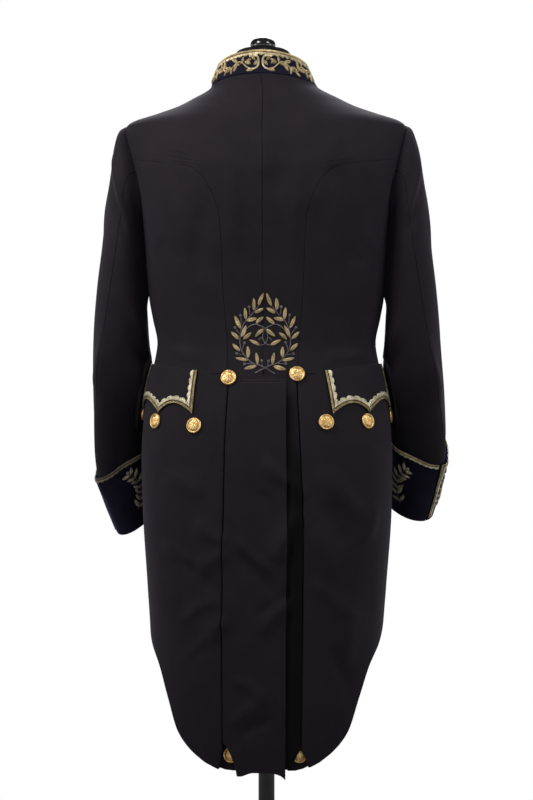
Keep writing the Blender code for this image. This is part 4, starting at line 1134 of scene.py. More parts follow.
class Paint:
    """A finish: a Principled material whose changing parts are written as sums."""

    def __init__(self, name, slot, **constants):
        self.made = bpy.data.materials.new(name)
        self.made.use_nodes = True
        self.made["slot"] = slot
        self.tree = self.made.node_tree
        self.shader = self.tree.nodes["Principled BSDF"]
        for socket, value in constants.items():
            entry = self.shader.inputs[socket.replace("_", " ")]
            entry.default_value = (*value, 1.0) if hasattr(value, "__len__") else value

    def node(self, kind, settings=None, inputs=None, output=0):
        """One node: its settings first, then the values or links of its sockets."""
        made = self.tree.nodes.new(kind)
        for name, value in (settings or {}).items():
            setattr(made, name, value)
        for key, value in (inputs or {}).items():
            if isinstance(value, Signal):
                self.tree.links.new(value.socket, made.inputs[key])
            else:
                made.inputs[key].default_value = value
        return Signal(self, made.outputs[output])

    def math(self, operation, *values):
        return self.node("ShaderNodeMath", {"operation": operation}, dict(enumerate(values)))

    def place(self, scale=(1.0, 1.0, 1.0)):
        """Object coordinates, stretched."""
        source = self.node("ShaderNodeTexCoord", output="Object")
        return self.node("ShaderNodeMapping", {}, {"Vector": source, "Scale": scale})

    def cut(self):
        """The piece's own map, in metres across and along it."""
        source = self.node("ShaderNodeUVMap", {"uv_map": "cut"})
        return [self.node("ShaderNodeSeparateXYZ", {}, {0: source}, output) for output in ("X", "Y")]

    def noise(self, scale, detail=2.0, vector=None):
        inputs = {"Scale": scale, "Detail": detail}
        inputs["Vector"] = vector or self.place()
        return self.node("ShaderNodeTexNoise", {}, inputs, "Fac")

    def blend(self, share, first, second):
        colours = [c if isinstance(c, Signal) else (*c, 1.0) for c in (first, second)]
        return self.node(
            "ShaderNodeMix", {"data_type": "RGBA"}, {0: share, 6: colours[0], 7: colours[1]}, 2
        )

    def feed(self, socket, signal):
        self.tree.links.new(signal.socket, self.shader.inputs[socket])

    def relief(self, height, metres, strength=1.0):
        """Fine relief in the shading, that many metres deep."""
        self.feed("Normal", self.node(
            "ShaderNodeBump", {}, {"Strength": strength, "Distance": metres, "Height": height}
        ))


def wool_cloth(name="wool", painted_lap_shadow=False, inner=False):
    """Black broadcloth with a short nap and specks of lint, with painted shadow under the vent's lap and
    painted shade inside the arm.
    """
    paint = Paint(
        name, "wool", Roughness=0.85, Specular_IOR_Level=0.13, Sheen_Weight=0.08, Sheen_Roughness=0.45,
        Sheen_Tint=(0.60, 0.56, 0.72),
    )
    nap = paint.noise(900.0, 3.0, paint.place((1.0, 1.0, 0.45)))
    mottle = paint.noise(34.0, 3.0)
    cloudy = paint.noise(6.0, 2.0)
    tone = nap * 0.5 + mottle * 0.3 + cloudy * 0.35
    colour = paint.blend(tone.between(0.35, 0.85), (0.0092, 0.0074, 0.0096), (0.0160, 0.0132, 0.0168))
    # Painted shadow: the right back is painted near black under the left back's lap below the vent's top, a
    # little lighter in one patch
    if painted_lap_shadow:
        x, z = (paint.node("ShaderNodeSeparateXYZ", {}, {0: paint.place()}, axis) for axis in "XZ")
        deep = 1.0 - x.between(0.038, 0.056) * z.between(0.86, 0.96) * 0.6
        colour = paint.blend(deep * (1.0 - z.between(0.985, 1.020)), colour, (0.0012, 0.0007, 0.0010))
    # Painted shade: the undersleeves are painted a little darker below 1.12 m, fading out by 1.25 m, where
    # the body shades the inner arm
    if inner:
        z = paint.node("ShaderNodeSeparateXYZ", {}, {0: paint.place()}, "Z")
        colour = paint.blend((1.0 - z.between(1.12, 1.25)) * 0.15, colour, (0.0014, 0.0009, 0.0012))
    cells = {"Scale": 26.0, "Randomness": 1.0, "Vector": paint.place()}
    distance = paint.node("ShaderNodeTexVoronoi", {}, cells, "Distance")
    chosen = paint.node("ShaderNodeSeparateColor", {}, {
        0: paint.node("ShaderNodeTexVoronoi", {}, cells, "Color")
    })
    lint = (1.0 - distance.between(0.010, 0.024)) * chosen.between(0.90, 0.91)
    paint.feed("Base Color", paint.blend(lint, colour, (0.16, 0.155, 0.16)))
    paint.feed("Roughness", nap * 0.12 + 0.79)
    paint.relief(nap + mottle * 0.6, 0.00022, 0.7)
    return paint.made


def velvet_cloth():
    """Dark blue velvet: its pile is bright only where it is seen from the side."""
    paint = Paint(
        "velvet", "velvet", Specular_IOR_Level=0.10, Sheen_Weight=0.60, Sheen_Roughness=0.22,
        Sheen_Tint=(0.09, 0.13, 0.55),
    )
    pile = paint.noise(1300.0, 2.0)
    crushed = paint.noise(48.0, 3.0)
    colour = paint.blend(
        (pile * 0.4 + crushed * 0.7).between(0.3, 0.85), (0.0040, 0.0034, 0.0092), (0.0095, 0.0083, 0.0225)
    )
    paint.feed("Base Color", colour)
    paint.feed("Roughness", crushed * 0.2 + 0.7)
    paint.relief(pile + crushed, 0.00025, 0.6)
    return paint.made


METAL_RELIEF = 0.00035
# Light and dark colour, roughness, pitch and slant of the rows, how dark the painted shade in a leaf's groove
# is, and how metallic
THREADS = {
    "gold_bullion": ((1.0, 0.83, 0.47), (0.10, 0.05, 0.015), 0.30, 0.0013, 0.9, 0.6, 0.85),
    "antique_bullion": ((0.95, 0.76, 0.42), (0.10, 0.06, 0.02), 0.36, 0.0013, 0.9, 0.5, 0.5),
    "silver_thread": ((0.30, 0.27, 0.30), (0.08, 0.07, 0.08), 0.45, 0.0011, 0.5, 0.0, 0.85),
    "grey_silk": ((0.11, 0.09, 0.115), (0.04, 0.03, 0.04), 0.55, 0.0011, 0.5, 0.0, 0.85),
    "gold_cord": ((0.90, 0.79, 0.50), (0.32, 0.25, 0.12), 0.38, 0.0011, 0.6, 0.0, 0.85),
    # A dimmer copy of the bullion for the cuffs' leaves: painted shade, as the cuffs lie in shadow
    "shaded_bullion": ((0.72, 0.64, 0.46), (0.04, 0.03, 0.02), 0.42, 0.0013, 0.9, 0.6, 0.6),
}


def metal_thread(name, light, dark, roughness, pitch, slant, groove, metallic):
    """Wound metal thread in rows that slant away from a leaf's middle, with painted shade in its groove and
    along its edge.
    """
    paint = Paint(name, "gilt", Metallic=metallic)
    across, along = paint.cut()
    aside = paint.math("ABSOLUTE", across)
    rows = ((along + aside * slant) * (2 * math.pi / pitch)).sine() * 0.5 + 0.5
    wire = ((along * 0.6 - aside) * (2 * math.pi / (pitch * 0.45))).sine() * 0.5 + 0.5
    worn = paint.noise(160.0, 3.0)
    tone = (rows * 0.45 + worn * 0.6 + wire * 0.1).between(0.2, 0.85)
    # Painted shade: the colour is darkened along a leaf's edges and down its middle groove
    shaded = aside.between(0.0019, 0.0029) * 0.9 + (1.0 - aside.between(0.0001, 0.0006)) * groove
    paint.feed("Base Color", paint.blend(tone * (1.0 - shaded), dark, light))
    paint.feed("Roughness", worn * 0.2 + (roughness - 0.1))
    paint.relief(rows + wire * 0.35 + worn * 0.3, METAL_RELIEF, 0.9)
    return paint.made


# Dark and light, for the outer rows and for the scalloped band
LACE_COLOURS = (((0.12, 0.08, 0.035), (0.64, 0.51, 0.27)), ((0.30, 0.22, 0.11), (1.0, 0.95, 0.72)))
COLLAR_LACE_COLOURS = (((0.20, 0.13, 0.05), (0.95, 0.76, 0.42)), ((0.20, 0.13, 0.05), (1.0, 0.86, 0.55)))
# A darker copy of the lace for the left cuff: painted shade
SHADED_LACE_COLOURS = (((0.06, 0.04, 0.02), (0.30, 0.25, 0.15)), ((0.12, 0.09, 0.05), (0.46, 0.42, 0.32)))


def gold_lace(name, colours):
    """Woven gold lace: dull twisted rows outside, a dark line, and a bright band laid in slanting rows."""
    paint = Paint(name, "gilt", Metallic=0.8)
    across, along = paint.cut()
    weave = ((along + across * 0.5) * (2 * math.pi / 0.0013)).sine() * 0.5 + 0.5
    worn = paint.noise(170.0, 3.0)
    tone = (weave * 0.4 + worn * 0.7).between(0.2, 0.85)
    outer, inner = (paint.blend(tone, *pair) for pair in colours)
    line = across.between(0.0034, 0.0040) * (1.0 - across.between(0.0046, 0.0052))
    colour = paint.blend(across.between(0.0040, 0.0052), outer, inner)
    paint.feed("Base Color", paint.blend(line, colour, (0.05, 0.035, 0.02)))
    paint.feed("Roughness", worn * 0.2 + 0.30)
    paint.relief(weave + worn * 0.4, METAL_RELIEF, 0.9)
    return paint.made


def gilt_metal():
    """Fire-gilt brass with a little tarnish in its hollows."""
    paint = Paint("gilt_button", "gilt", Metallic=1.0)
    tarnish = paint.noise(240.0, 4.0)
    fine = paint.noise(1500.0, 2.0)
    paint.feed("Base Color", paint.blend(
        (tarnish + fine * 0.3).between(0.35, 0.9), (0.95, 0.70, 0.33), (0.62, 0.36, 0.11)
    ))
    paint.feed("Roughness", tarnish * 0.25 + 0.32)
    paint.relief(tarnish + fine * 0.5, 0.00022, 0.8)
    return paint.made


def knitted_jersey():
    """The form's black stretch cover, with its fine ribs."""
    paint = Paint("jersey", "jersey", Specular_IOR_Level=0.2, Sheen_Weight=0.25, Sheen_Roughness=0.4)
    place = paint.place()
    x, y, z = (paint.node("ShaderNodeSeparateXYZ", {}, {0: place}, axis) for axis in "XYZ")
    ribs = ((x + y) * (2 * math.pi / 0.0011)).sine() * 0.5 + 0.5
    stitches = (z * (2 * math.pi / 0.0009)).sine() * 0.5 + 0.5
    cloudy = paint.noise(30.0, 3.0)
    paint.feed("Base Color", paint.blend(
        (ribs * stitches + cloudy * 0.5).between(0.1, 1.2), (0.009, 0.009, 0.010), (0.026, 0.026, 0.028)
    ))
    paint.feed("Roughness", cloudy * 0.15 + 0.78)
    paint.relief(ribs * stitches, 0.0002, 0.6)
    return paint.made


def black_lacquer():
    """Gloss black lacquer with faint orange peel and handling marks."""
    paint = Paint("black_gloss", "gloss", Coat_Weight=0.25, Coat_Roughness=0.05, Specular_IOR_Level=0.4)
    marks = paint.noise(90.0, 5.0)
    black = paint.blend(marks.between(0.3, 0.8), (0.006, 0.006, 0.007), (0.011, 0.011, 0.012))
    paint.feed("Base Color", black)
    paint.feed("Roughness", marks * 0.14 + 0.09)
    paint.relief(paint.noise(260.0, 2.0), 0.00006, 0.4)
    return paint.made


def black_satin():
    """Satin black paint on wood, without a shine."""
    paint = Paint("black_satin", "gloss", Specular_IOR_Level=0.0, Roughness=0.8)
    marks = paint.noise(60.0, 4.0)
    black = paint.blend(marks.between(0.3, 0.8), (0.008, 0.008, 0.009), (0.014, 0.014, 0.015))
    paint.feed("Base Color", black)
    paint.relief(marks, 0.00005, 0.3)
    return paint.made


def black_steel():
    """Powder-coated steel: a fine grain with rubbed edges left a little smoother."""
    paint = Paint("black_steel", "steel", Metallic=0.2, Specular_IOR_Level=0.45)
    grain = paint.noise(1100.0, 3.0)
    rubbed = paint.noise(14.0, 4.0)
    black = paint.blend(rubbed.between(0.4, 0.8), (0.011, 0.011, 0.012), (0.020, 0.020, 0.021))
    paint.feed("Base Color", black)
    paint.feed("Roughness", 0.55 - rubbed * 0.2 + grain * 0.1)
    paint.relief(grain, 0.00012, 0.6)
    return paint.made


class Way:
    """A path on a chart, with its directions and running length."""

    def __init__(self, points, step):
        dense = []
        padded = [points[0], *points, points[-1]]
        for k in range(1, len(padded) - 2):
            a, b, c, d = (np.array(p, float) for p in padded[k - 1:k + 3])
            count = max(int(math.ceil(np.linalg.norm(c - b) / step)), 1)
            for t in spaced(0.0, 1.0, count)[:-1]:
                square, cube = (2 * a - 5 * b + 4 * c - d) * t * t, (3 * b - a - 3 * c + d) * t ** 3
                dense.append(0.5 * (2 * b + (c - a) * t + square + cube))
        dense.append(np.array(points[-1], float))
        self.at = np.array(dense)
        self.run = np.concatenate([[0.0], np.cumsum(np.linalg.norm(np.diff(self.at, axis=0), axis=1))])
        along = np.gradient(self.at, axis=0)
        along /= np.linalg.norm(along, axis=1, keepdims=True)
        self.aside = np.stack([-along[:, 1], along[:, 0]], axis=1)


def lay_grid(bm, cols, rows, place):
    """A grid of faces laid where place(across, along) says, with a map in metres."""
    uv = bm.loops.layers.uv.get("cut") or bm.loops.layers.uv.new("cut")
    laid = {}
    for vert in bmesh.ops.create_grid(bm, x_segments=cols, y_segments=rows, size=0.5)["verts"]:
        across, along = vert.co.x + 0.5, vert.co.y + 0.5
        vert.co, laid[vert] = place(across, along)
    for face in {face for vert in laid for face in vert.link_faces}:
        for loop in face.loops:
            loop[uv].uv = laid[loop.vert]


def lay_strip(bm, chart, way, section, around):
    """A closed strip along a way. section(its point, running length) gives how far aside and up it lies."""
    last = len(way.at) - 1

    def place(across, along):
        k = round(along * last)
        aside, lift, *mark = section(round(across * around) % around, way.run[k])
        a, b = way.at[k] + way.aside[k] * aside
        return chart(a, b, lift), ((mark or [aside])[0], way.run[k])

    lay_grid(bm, around, last, place)


def lay_cord(bm, chart, points, radius, step=0.002, around=6):
    """A round cord laid on the cloth, thinner at its far end."""
    way = Way(points, step)

    def section(k, run):
        angle = 2 * math.pi * k / around
        r = radius * (1.0 - 0.3 * run / way.run[-1])
        return r * math.cos(angle), r * 0.5 + r * math.sin(angle)

    lay_strip(bm, chart, way, section, around)


LEAF_LIFT = 0.0025
# How far from its middle line a leaf's edge is on its map
LEAF_MARK = 0.0030
LEAF_ACROSS = 6
LEAF_ALONG = 9


def lay_leaf(bm, chart, base, tip, width, bend=0.0, lift=LEAF_LIFT):
    """A padded leaf with a groove down its middle."""
    base, tip = np.array(base, float), np.array(tip, float)
    along_way = tip - base
    length = float(np.linalg.norm(along_way))
    aside = np.array((-along_way[1], along_way[0])) / length

    def place(across, along):
        u = 2.0 * across - 1.0
        broad = math.sin(math.pi * along ** 0.88) ** 0.72 if 0.0 < along < 1.0 else 0.0
        offset = 0.5 * width * broad * u + bend * math.sin(math.pi * along)
        a, b = base + along_way * along + aside * offset
        dome = math.sqrt(max(1.0 - u * u, 0.0)) * broad ** 0.7
        groove = 1.0 - 0.5 * math.exp(-((u / 0.2) ** 2))
        return chart(a, b, lift * dome * groove - 0.0001), (LEAF_MARK * u, along * length)

    lay_grid(bm, LEAF_ACROSS, LEAF_ALONG, place)


def lay_dome(bm, chart, centre, radius, lift, ring=0.0):
    """A small round of wound thread; ring hollows its middle."""

    def place(across, along):
        angle = 2 * math.pi * across
        height = lift * math.sqrt(1.0 - along * along) * (1.0 - ring * math.exp(-((along / 0.42) ** 2)))
        a, b = centre[0] + radius * along * math.cos(angle), centre[1] + radius * along * math.sin(angle)
        return chart(a, b, height - 0.0001), (radius * along, radius * angle)

    lay_grid(bm, 10, 5, place)


def sewn(name, bm, finish_material, smooth_deg=60.0):
    """Closes the shapes laid in the mesh and makes them one piece."""
    bmesh.ops.remove_doubles(bm, verts=bm.verts, dist=2e-6)
    bmesh.ops.dissolve_degenerate(bm, edges=bm.edges, dist=1e-6)
    bmesh.ops.holes_fill(bm, edges=[edge for edge in bm.edges if edge.is_boundary], sides=0)
    bmesh.ops.recalc_face_normals(bm, faces=bm.faces)
    return finish(name, bm, finish_material, smooth_deg)


# The braid's section: how far aside, the share of the scalloped band, and how far up
BRAID_SECTION = (
    (0.0000, 0.00, -0.0001), (0.0000, 0.00, 0.0008), (0.0009, 0.00, 0.0014), (0.0019, 0.00, 0.0009),
    (0.0028, 0.00, 0.0014), (0.0036, 0.00, 0.0009), (0.0039, 0.00, 0.0002), (0.0046, 0.00, 0.0002),
    (0.0050, 0.00, 0.0014), (0.0056, 0.12, 0.0018), (0.0056, 0.40, 0.0015), (0.0056, 0.76, 0.0016),
    (0.0056, 0.95, 0.0009), (0.0056, 1.00, -0.0001),
)


BRAID_STEP = 0.0011
# How far lace is laid in from an edge
BRAID_INSET = 0.0006
# Lace on each piece: its cords' size, its band between teeth with the teeth's own height, a tooth's length
COLLAR_LACE = (0.82, (0.0016, 0.0030), 0.0088)
FLAP_LACE = (0.94, (0.0030, 0.0034), 0.0103)
CUFF_LACE = (0.8, (0.0016, 0.0026), 0.0085)


def braid(bm, chart, points, size, band, tooth, mitres=(0.0, 0.0)):
    """Gold lace along an edge: cords outside, and a scalloped band inside.

    mitres are the slopes that the strip is cut off at where it meets another at a corner, or 0 for none.
    """
    way = Way(points, BRAID_STEP)
    total = way.run[-1]
    teeth = max(round(total / tooth), 1)

    def section(k, run):
        fixed, share, lift = BRAID_SECTION[k]
        part = (run / total * teeth) % 1.0
        wide = band[0] + band[1] * abs(math.sin(math.pi * part ** 0.65)) ** 0.7
        aside = fixed * size + share * wide
        mark = fixed + share * 0.0060
        for slope, room in zip(mitres, (run, total - run)):
            if slope:
                aside = min(aside, 0.0002 + room * slope)
        return aside, lift * min(size, 1.0), mark

    lay_strip(bm, chart, way, section, len(BRAID_SECTION))


def arc_table(point_at, start, end, count):
    """The parameter at each running length along a line, as a curve."""
    keys = spaced(start, end, count)
    points = [point_at(key) for key in keys]
    rows, run = [(0.0, keys[0])], 0.0
    for key, before, after in zip(keys[1:], points, points[1:]):
        run += (after - before).length
        rows.append((run, key))
    return Curve("run key", rows)


# Charts: each turns two distances on a piece and a lift off its cloth into a place

def back_chart(x, z, lift):
    """x from the middle of the back and z above the floor, as seen from behind."""
    turn = turn_at(x, z)
    under = back_under(turn, z) if x > 0.0 else 0.0
    point, facing = on_body(turn, z, under)
    return placed(point, facing, 1.0, lift)[0]


COLLAR_ARC = arc_table(
    lambda turn: on_body(turn, neckline(turn) + COLLAR_HEIGHT / 2)[0], 0.0, COLLAR_REACH, 90
)
COLLAR_LONG = COLLAR_ARC.keys[-1]


def collar_chart(along, high, lift):
    """along from the middle of the back towards the wearer's right, and high above the collar seam."""
    turn = math.copysign(COLLAR_ARC.at(abs(along), "key"), along)
    point, facing = on_body(turn, neckline(turn) + LAYER_GAP + high)
    return placed(point, facing, 1.0, lift)[0]


FLAP_LEVEL = 0.985
FLAP_START = math.radians(22.0)
FLAP_ARC = arc_table(lambda turn: body_point(turn, FLAP_LEVEL), FLAP_START, math.radians(104.0), 60)


def flap_run(turn):
    """The running length at a turn, by halving."""
    low, high = 0.0, FLAP_ARC.keys[-1]
    for _ in range(30):
        middle = (low + high) / 2
        low, high = (middle, high) if FLAP_ARC.at(middle, "key") < turn else (low, middle)
    return low


def flap_chart(side):
    def chart(along, z, lift):
        point, facing = on_body(FLAP_ARC.at(along, "key"), z, LAYER_GAP + FLAP_THICK)
        return placed(point, facing, SIDES[side], lift)[0]
    return chart


def cuff_chart(side):
    """along from the cuff's opening round the wrist, and down from its top edge."""
    start, stop = cuff_ends(side)
    arc = arc_table(lambda deg: on_cuff(deg, 0.5, side, 0.0)[0], start, stop, 90)
    tall = Curve("degrees high", [
        (deg, (on_cuff(deg, 1.0, side, 0.0)[0] - on_cuff(deg, 0.0, side, 0.0)[0]).length)
        for deg in spaced(start, stop, 40)
    ])

    def chart(along, down, lift):
        deg = arc.at(along, "key")
        point, facing = on_cuff(deg, 1.0 - down / tall.at(deg, "high"), side, VELVET / 2)
        return settled(point + facing * lift, SIDES[side])

    return chart, arc.keys[-1], lambda along: tall.at(arc.at(along, "key"), "high")


# The wreath in millimetres from its middle line and foot: leaves as base and tip, berries as stalk and end
WREATH_LEAVES = (
    (-12.7, 12.2, -31.8, 7.6), (-11.1, 14.3, -14.0, 32.9), (-25.5, 20.7, -44.5, 24.4),
    (-26.0, 24.4, -26.2, 42.4), (-37.1, 35.0, -50.0, 46.5), (-40.0, 52.5, -52.0, 64.2),
    (-36.6, 55.7, -28.8, 74.0), (-32.8, 52.0, -20.7, 63.1), (-37.1, 68.9, -46.1, 88.0),
    (-28.6, 81.1, -12.7, 84.3), (-29.2, 82.2, -31.3, 101.3), (-15.4, 92.3, -1.8, 99.5),
    (-17.4, 96.5, -17.0, 115.6), (-10.1, 102.9, -2.3, 122.5),
)
WREATH_BERRIES = (
    (-19.6, 15.9, -31.3, 15.4), (-33.4, 29.2, -43.0, 30.8), (-35.8, 33.5, -31.0, 47.7),
    (-38.8, 60.4, -46.1, 70.5), (-35.5, 76.5, -37.1, 89.1), (-23.3, 90.3, -24.4, 101.3),
    (-4.2, 12.2, -4.8, 20.1),
)
WREATH_STEM = (
    (14.8, 1.6), (0.0, 9.5), (-9.0, 13.5), (-19.6, 17.0), (-29.2, 26.0), (-35.5, 36.1), (-38.2, 46.7),
    (-37.6, 57.3), (-35.5, 68.9), (-30.2, 79.5), (-19.6, 91.2), (-10.1, 102.9),
)
# The sprays inside it
SPRAY_LEAVES = (
    (-14.3, 76.0, -2.0, 87.0), (-1.6, 68.5, -15.0, 56.4), (-8.0, 43.6, -24.2, 52.2),
)
SPRAY_STEMS = (
    ((0.0, 69.4), (-8.0, 73.2), (-15.0, 75.6), (-24.0, 72.0), (-33.0, 62.0)),
    ((0.0, 46.6), (-3.6, 54.0), (-3.2, 62.0), (0.0, 69.0)),
    ((0.0, 46.6), (-4.0, 44.2), (-9.0, 43.8)),
    ((-3.4, 56.0), (-7.0, 54.5), (-10.0, 51.0)),
)
WREATH_X = 0.0032
WREATH_FOOT = 1.0292
WREATH_LEAF_WIDTH = 0.0066
STEM_RADIUS = 0.00075
BERRY_RADIUS = 0.0023
MM = 0.001


def metres(*spots):
    """Places given in millimetres, as a list in metres."""
    return [tuple(value * MM for value in spot) for spot in spots]


def wreath(leaf_thread, stem_thread):
    """Two laurel branches crossed at the foot, with sprays of the same leaves inside."""
    leaves, stems = bmesh.new(), bmesh.new()
    vary = random.Random(11)
    for mirror in (1.0, -1.0):

        def chart(x, z, lift):
            return back_chart(WREATH_X + x * mirror, WREATH_FOOT + z, lift)

        def moved(spot):
            return tuple((value + vary.uniform(-0.45, 0.45)) * MM for value in spot)

        for leaf in (*WREATH_LEAVES, *SPRAY_LEAVES):
            wide = WREATH_LEAF_WIDTH * vary.uniform(0.9, 1.12)
            lay_leaf(leaves, chart, moved(leaf[:2]), moved(leaf[2:]), wide, vary.uniform(-0.0007, 0.0007))
        for berry in WREATH_BERRIES:
            end = moved(berry[2:])
            lay_cord(stems, chart, [*metres(berry[:2]), end], STEM_RADIUS * 0.8, 0.004)
            lay_dome(stems, chart, end, BERRY_RADIUS, 0.0021, 0.55)
        lay_cord(stems, chart, metres(*WREATH_STEM), STEM_RADIUS * 1.1, 0.003)
        for stem in SPRAY_STEMS:
            lay_cord(stems, chart, metres(*stem), STEM_RADIUS, 0.003)
    return sewn("wreath_leaves", leaves, leaf_thread), sewn("wreath_stems", stems, stem_thread)


VINE_PITCH = 0.04
VINE_START = 0.015
VINE_MIDDLE = 0.0140
VINE_SWING = 0.0062
VINE_LEAF = 0.0145
VINE_LEAF_WIDTH = 0.006
VINE_ROOM = (0.0022, 0.0272)
VINE_STEP = 0.0088
# Where its paired leaves start, how far they and it stop short of the collar's end, and the shortest leaf
VINE_LEAVES_FROM = 0.0290
VINE_LEAVES_SHORT = 0.0300
VINE_SHORT = 0.014
VINE_SHORTEST_LEAF = 0.0055
# The curl at the middle of the back, as (along, high), and its leaves as base, tip and width
CURL = (
    (0.0175, 0.0260), (0.0100, 0.0272), (0.0046, 0.0245), (0.0032, 0.0185), (0.0036, 0.0125),
    (0.0066, 0.0080), (0.0115, 0.0062),
)
CURL_LEAVES = (
    (0.0100, 0.0062, 0.0215, 0.0046, 0.0062), (0.0040, 0.0200, 0.0105, 0.0120, 0.0060),
    (0.0150, 0.0262, 0.0080, 0.0200, 0.0050), (0.0150, 0.0150, 0.0255, 0.0190, 0.0060),
    (0.0230, 0.0200, 0.0140, 0.0225, 0.0046),
)


def vine_height(along):
    """How high the scroll's stem runs above the collar seam."""
    return VINE_MIDDLE - VINE_SWING * math.cos(2 * math.pi * (along - VINE_START) / VINE_PITCH)


def vine_slope(along):
    """The angle that the stem rises at."""
    step = 0.0005
    return math.atan2(vine_height(along + step) - vine_height(along - step), 2 * step)


def collar_embroidery(leaf_thread, stem_thread):
    """A laurel scroll that starts in two curls at the middle of the back and runs to both fronts."""
    leaves, stems = bmesh.new(), bmesh.new()
    vary = random.Random(5)
    long = COLLAR_LONG - VINE_SHORT
    for mirror in (1.0, -1.0):

        def chart(along, high, lift):
            return collar_chart(along * mirror, high, lift)

        lay_cord(stems, chart, CURL, STEM_RADIUS * 2.5, 0.002)
        for a, b, c, d, wide in CURL_LEAVES:
            lay_leaf(leaves, chart, (a, b), (c, d), wide, vary.uniform(-0.0006, 0.0006))
        run = [(s, vine_height(s)) for s in spaced(VINE_START, long, 60)]
        lay_cord(stems, chart, run, STEM_RADIUS * 1.1, 0.003)
        for k in range(int((long - VINE_LEAVES_SHORT) / VINE_STEP)):
            base = VINE_LEAVES_FROM + VINE_STEP * k
            high = vine_height(base)
            slope = vine_slope(base)
            for way in (1.0, -1.0):
                lean = slope + way * math.radians(vary.uniform(38.0, 58.0))
                room = (VINE_ROOM[1] - high) if math.sin(lean) > 0 else (high - VINE_ROOM[0])
                longest = max(room, 0.0) / max(abs(math.sin(lean)), 0.2)
                length = min(VINE_LEAF * vary.uniform(0.85, 1.1), longest)
                if length > VINE_SHORTEST_LEAF:
                    tip = (base + length * math.cos(lean), high + length * math.sin(lean))
                    wide = min(VINE_LEAF_WIDTH, 0.48 * length)
                    lay_leaf(leaves, chart, (base, high), tip, wide, vary.uniform(-0.0008, 0.0008))
    return sewn("collar_leaves", leaves, leaf_thread), sewn("collar_stems", stems, stem_thread)


def collar_braid(lace):
    """Lace along the collar's top and down its two front ends."""
    bm = bmesh.new()
    tops = [
        (along, collar_tall(COLLAR_ARC.at(abs(along), "key")) - BRAID_INSET)
        for along in spaced(COLLAR_LONG, -COLLAR_LONG, 90)
    ]
    edge = COLLAR_LONG - BRAID_INSET
    points = [(edge, 0.0015), (edge, 0.012), *tops[2:-2], (-edge, 0.012), (-edge, 0.0015)]
    braid(bm, collar_chart, points, *COLLAR_LACE)
    return sewn("collar_lace", bm, lace, 50.0)


CORNER_REACH = 0.011


def corner_slope(before, after):
    """The slope that two strips are cut to where one line ends and the next starts, so that they meet."""
    def towards(line):
        far = next((p for p in line if math.dist(p, line[0]) >= CORNER_REACH), line[-1])
        return math.atan2(far[1] - line[0][1], far[0] - line[0][0])
    between = abs(towards(before[::-1]) - towards(after)) % (2 * math.pi)
    return math.tan(min(between, 2 * math.pi - between) / 2)


def flap_braid(side, lace):
    """Lace down the flap's rear edge, along its scallops and up its front edge, mitred at the points."""
    bm = bmesh.new()
    chart = flap_chart(side)
    low, high = flap_outline(side)
    low, high = ([(flap_run(turn), z) for turn, z in line] for line in (low, high))
    middle = len(low) // 2
    lines = [[high[0], low[0]], low[:middle + 1], low[middle:], [low[-1], high[-1]]]
    slopes = [0.0, *(corner_slope(a, b) for a, b in zip(lines, lines[1:])), 0.0]
    for k, line in enumerate(lines):
        braid(bm, chart, line, *FLAP_LACE, slopes[k:k + 2])
    return sewn("flap_lace_" + side, bm, lace, 50.0)


# Where the first spray stands, past the cuff's opening, and how far its foot is above the cuff's edge
BRANCH_FROM = {"left": 0.079, "right": 0.063}
BRANCH_UP = {"left": 0.031, "right": 0.021}
BRANCH_PITCH = 0.060
BRANCH_LEAVES = 7
# How much of the cuff's height a spray leaves free, how tall it is unscaled, and the most it is scaled by
BRANCH_CLEAR, BRANCH_TALL, BRANCH_MOST = 0.046, 0.066, 1.10
# How far short of the cuff's end the last spray stands
BRANCH_SHORT = 0.020
# A laurel branch on a cuff, in millimetres from its foot
CUFF_BRANCH = ((-9.0, 0.0), (-2.5, 9.0), (3.0, 22.0), (3.5, 36.0), (-1.5, 49.0), (-9.0, 60.0))


def cuff_embroidery(side, leaf_thread, stem_thread, lace):
    """Lace along the cuff's top and down its front end, and upright laurel sprays round it."""
    chart, long, tall_at = cuff_chart(side)
    bm = bmesh.new()
    edge = long - BRAID_INSET
    braid(bm, chart, [(s, BRAID_INSET) for s in spaced(0.0015, edge, 60)], *CUFF_LACE, (0.0, 1.0))
    braid(bm, chart, [(edge, BRAID_INSET), (edge, tall_at(long) - 0.004)], *CUFF_LACE, (1.0, 0.0))
    made = [sewn("cuff_lace_" + side, bm, lace, 50.0)]
    leaves, stems = bmesh.new(), bmesh.new()
    vary = random.Random(21 if side == "left" else 22)
    for number in range(int((long - BRANCH_FROM[side] - BRANCH_SHORT) / BRANCH_PITCH) + 1):
        along = BRANCH_FROM[side] + BRANCH_PITCH * number
        scale = min((tall_at(along) - BRANCH_CLEAR) / BRANCH_TALL, BRANCH_MOST) * MM
        foot = tall_at(along) - BRANCH_UP[side]
        way = Way([(along + a * scale, foot - b * scale) for a, b in CUFF_BRANCH], 0.001)
        lay_cord(stems, chart, way.at[::4].tolist(), STEM_RADIUS, 0.003)
        for k in range(BRANCH_LEAVES):
            at = min(int((k + 0.5) / BRANCH_LEAVES * len(way.at)), len(way.at) - 2)
            onward = (way.at[at + 1] - way.at[at]) / np.linalg.norm(way.at[at + 1] - way.at[at])
            for turn in (1.0, -1.0):
                lean = turn * math.radians(vary.uniform(44.0, 58.0))
                reach = vary.uniform(15.0, 19.5) * scale * (1.0 - 0.25 * k / BRANCH_LEAVES)
                tip = way.at[at] + reach * np.array((
                    onward[0] * math.cos(lean) - onward[1] * math.sin(lean),
                    onward[0] * math.sin(lean) + onward[1] * math.cos(lean),
                ))
                lay_leaf(leaves, chart, way.at[at], tip, 5.9 * scale, vary.uniform(-0.0010, 0.0010))
        tip = way.at[-1] + (way.at[-1] - way.at[-6]) * 2.0
        lay_leaf(leaves, chart, way.at[-2], tip, 5.6 * scale)
    made.append(sewn("cuff_leaves_" + side, leaves, leaf_thread))
    made.append(sewn("cuff_stems_" + side, stems, stem_thread))
    return made


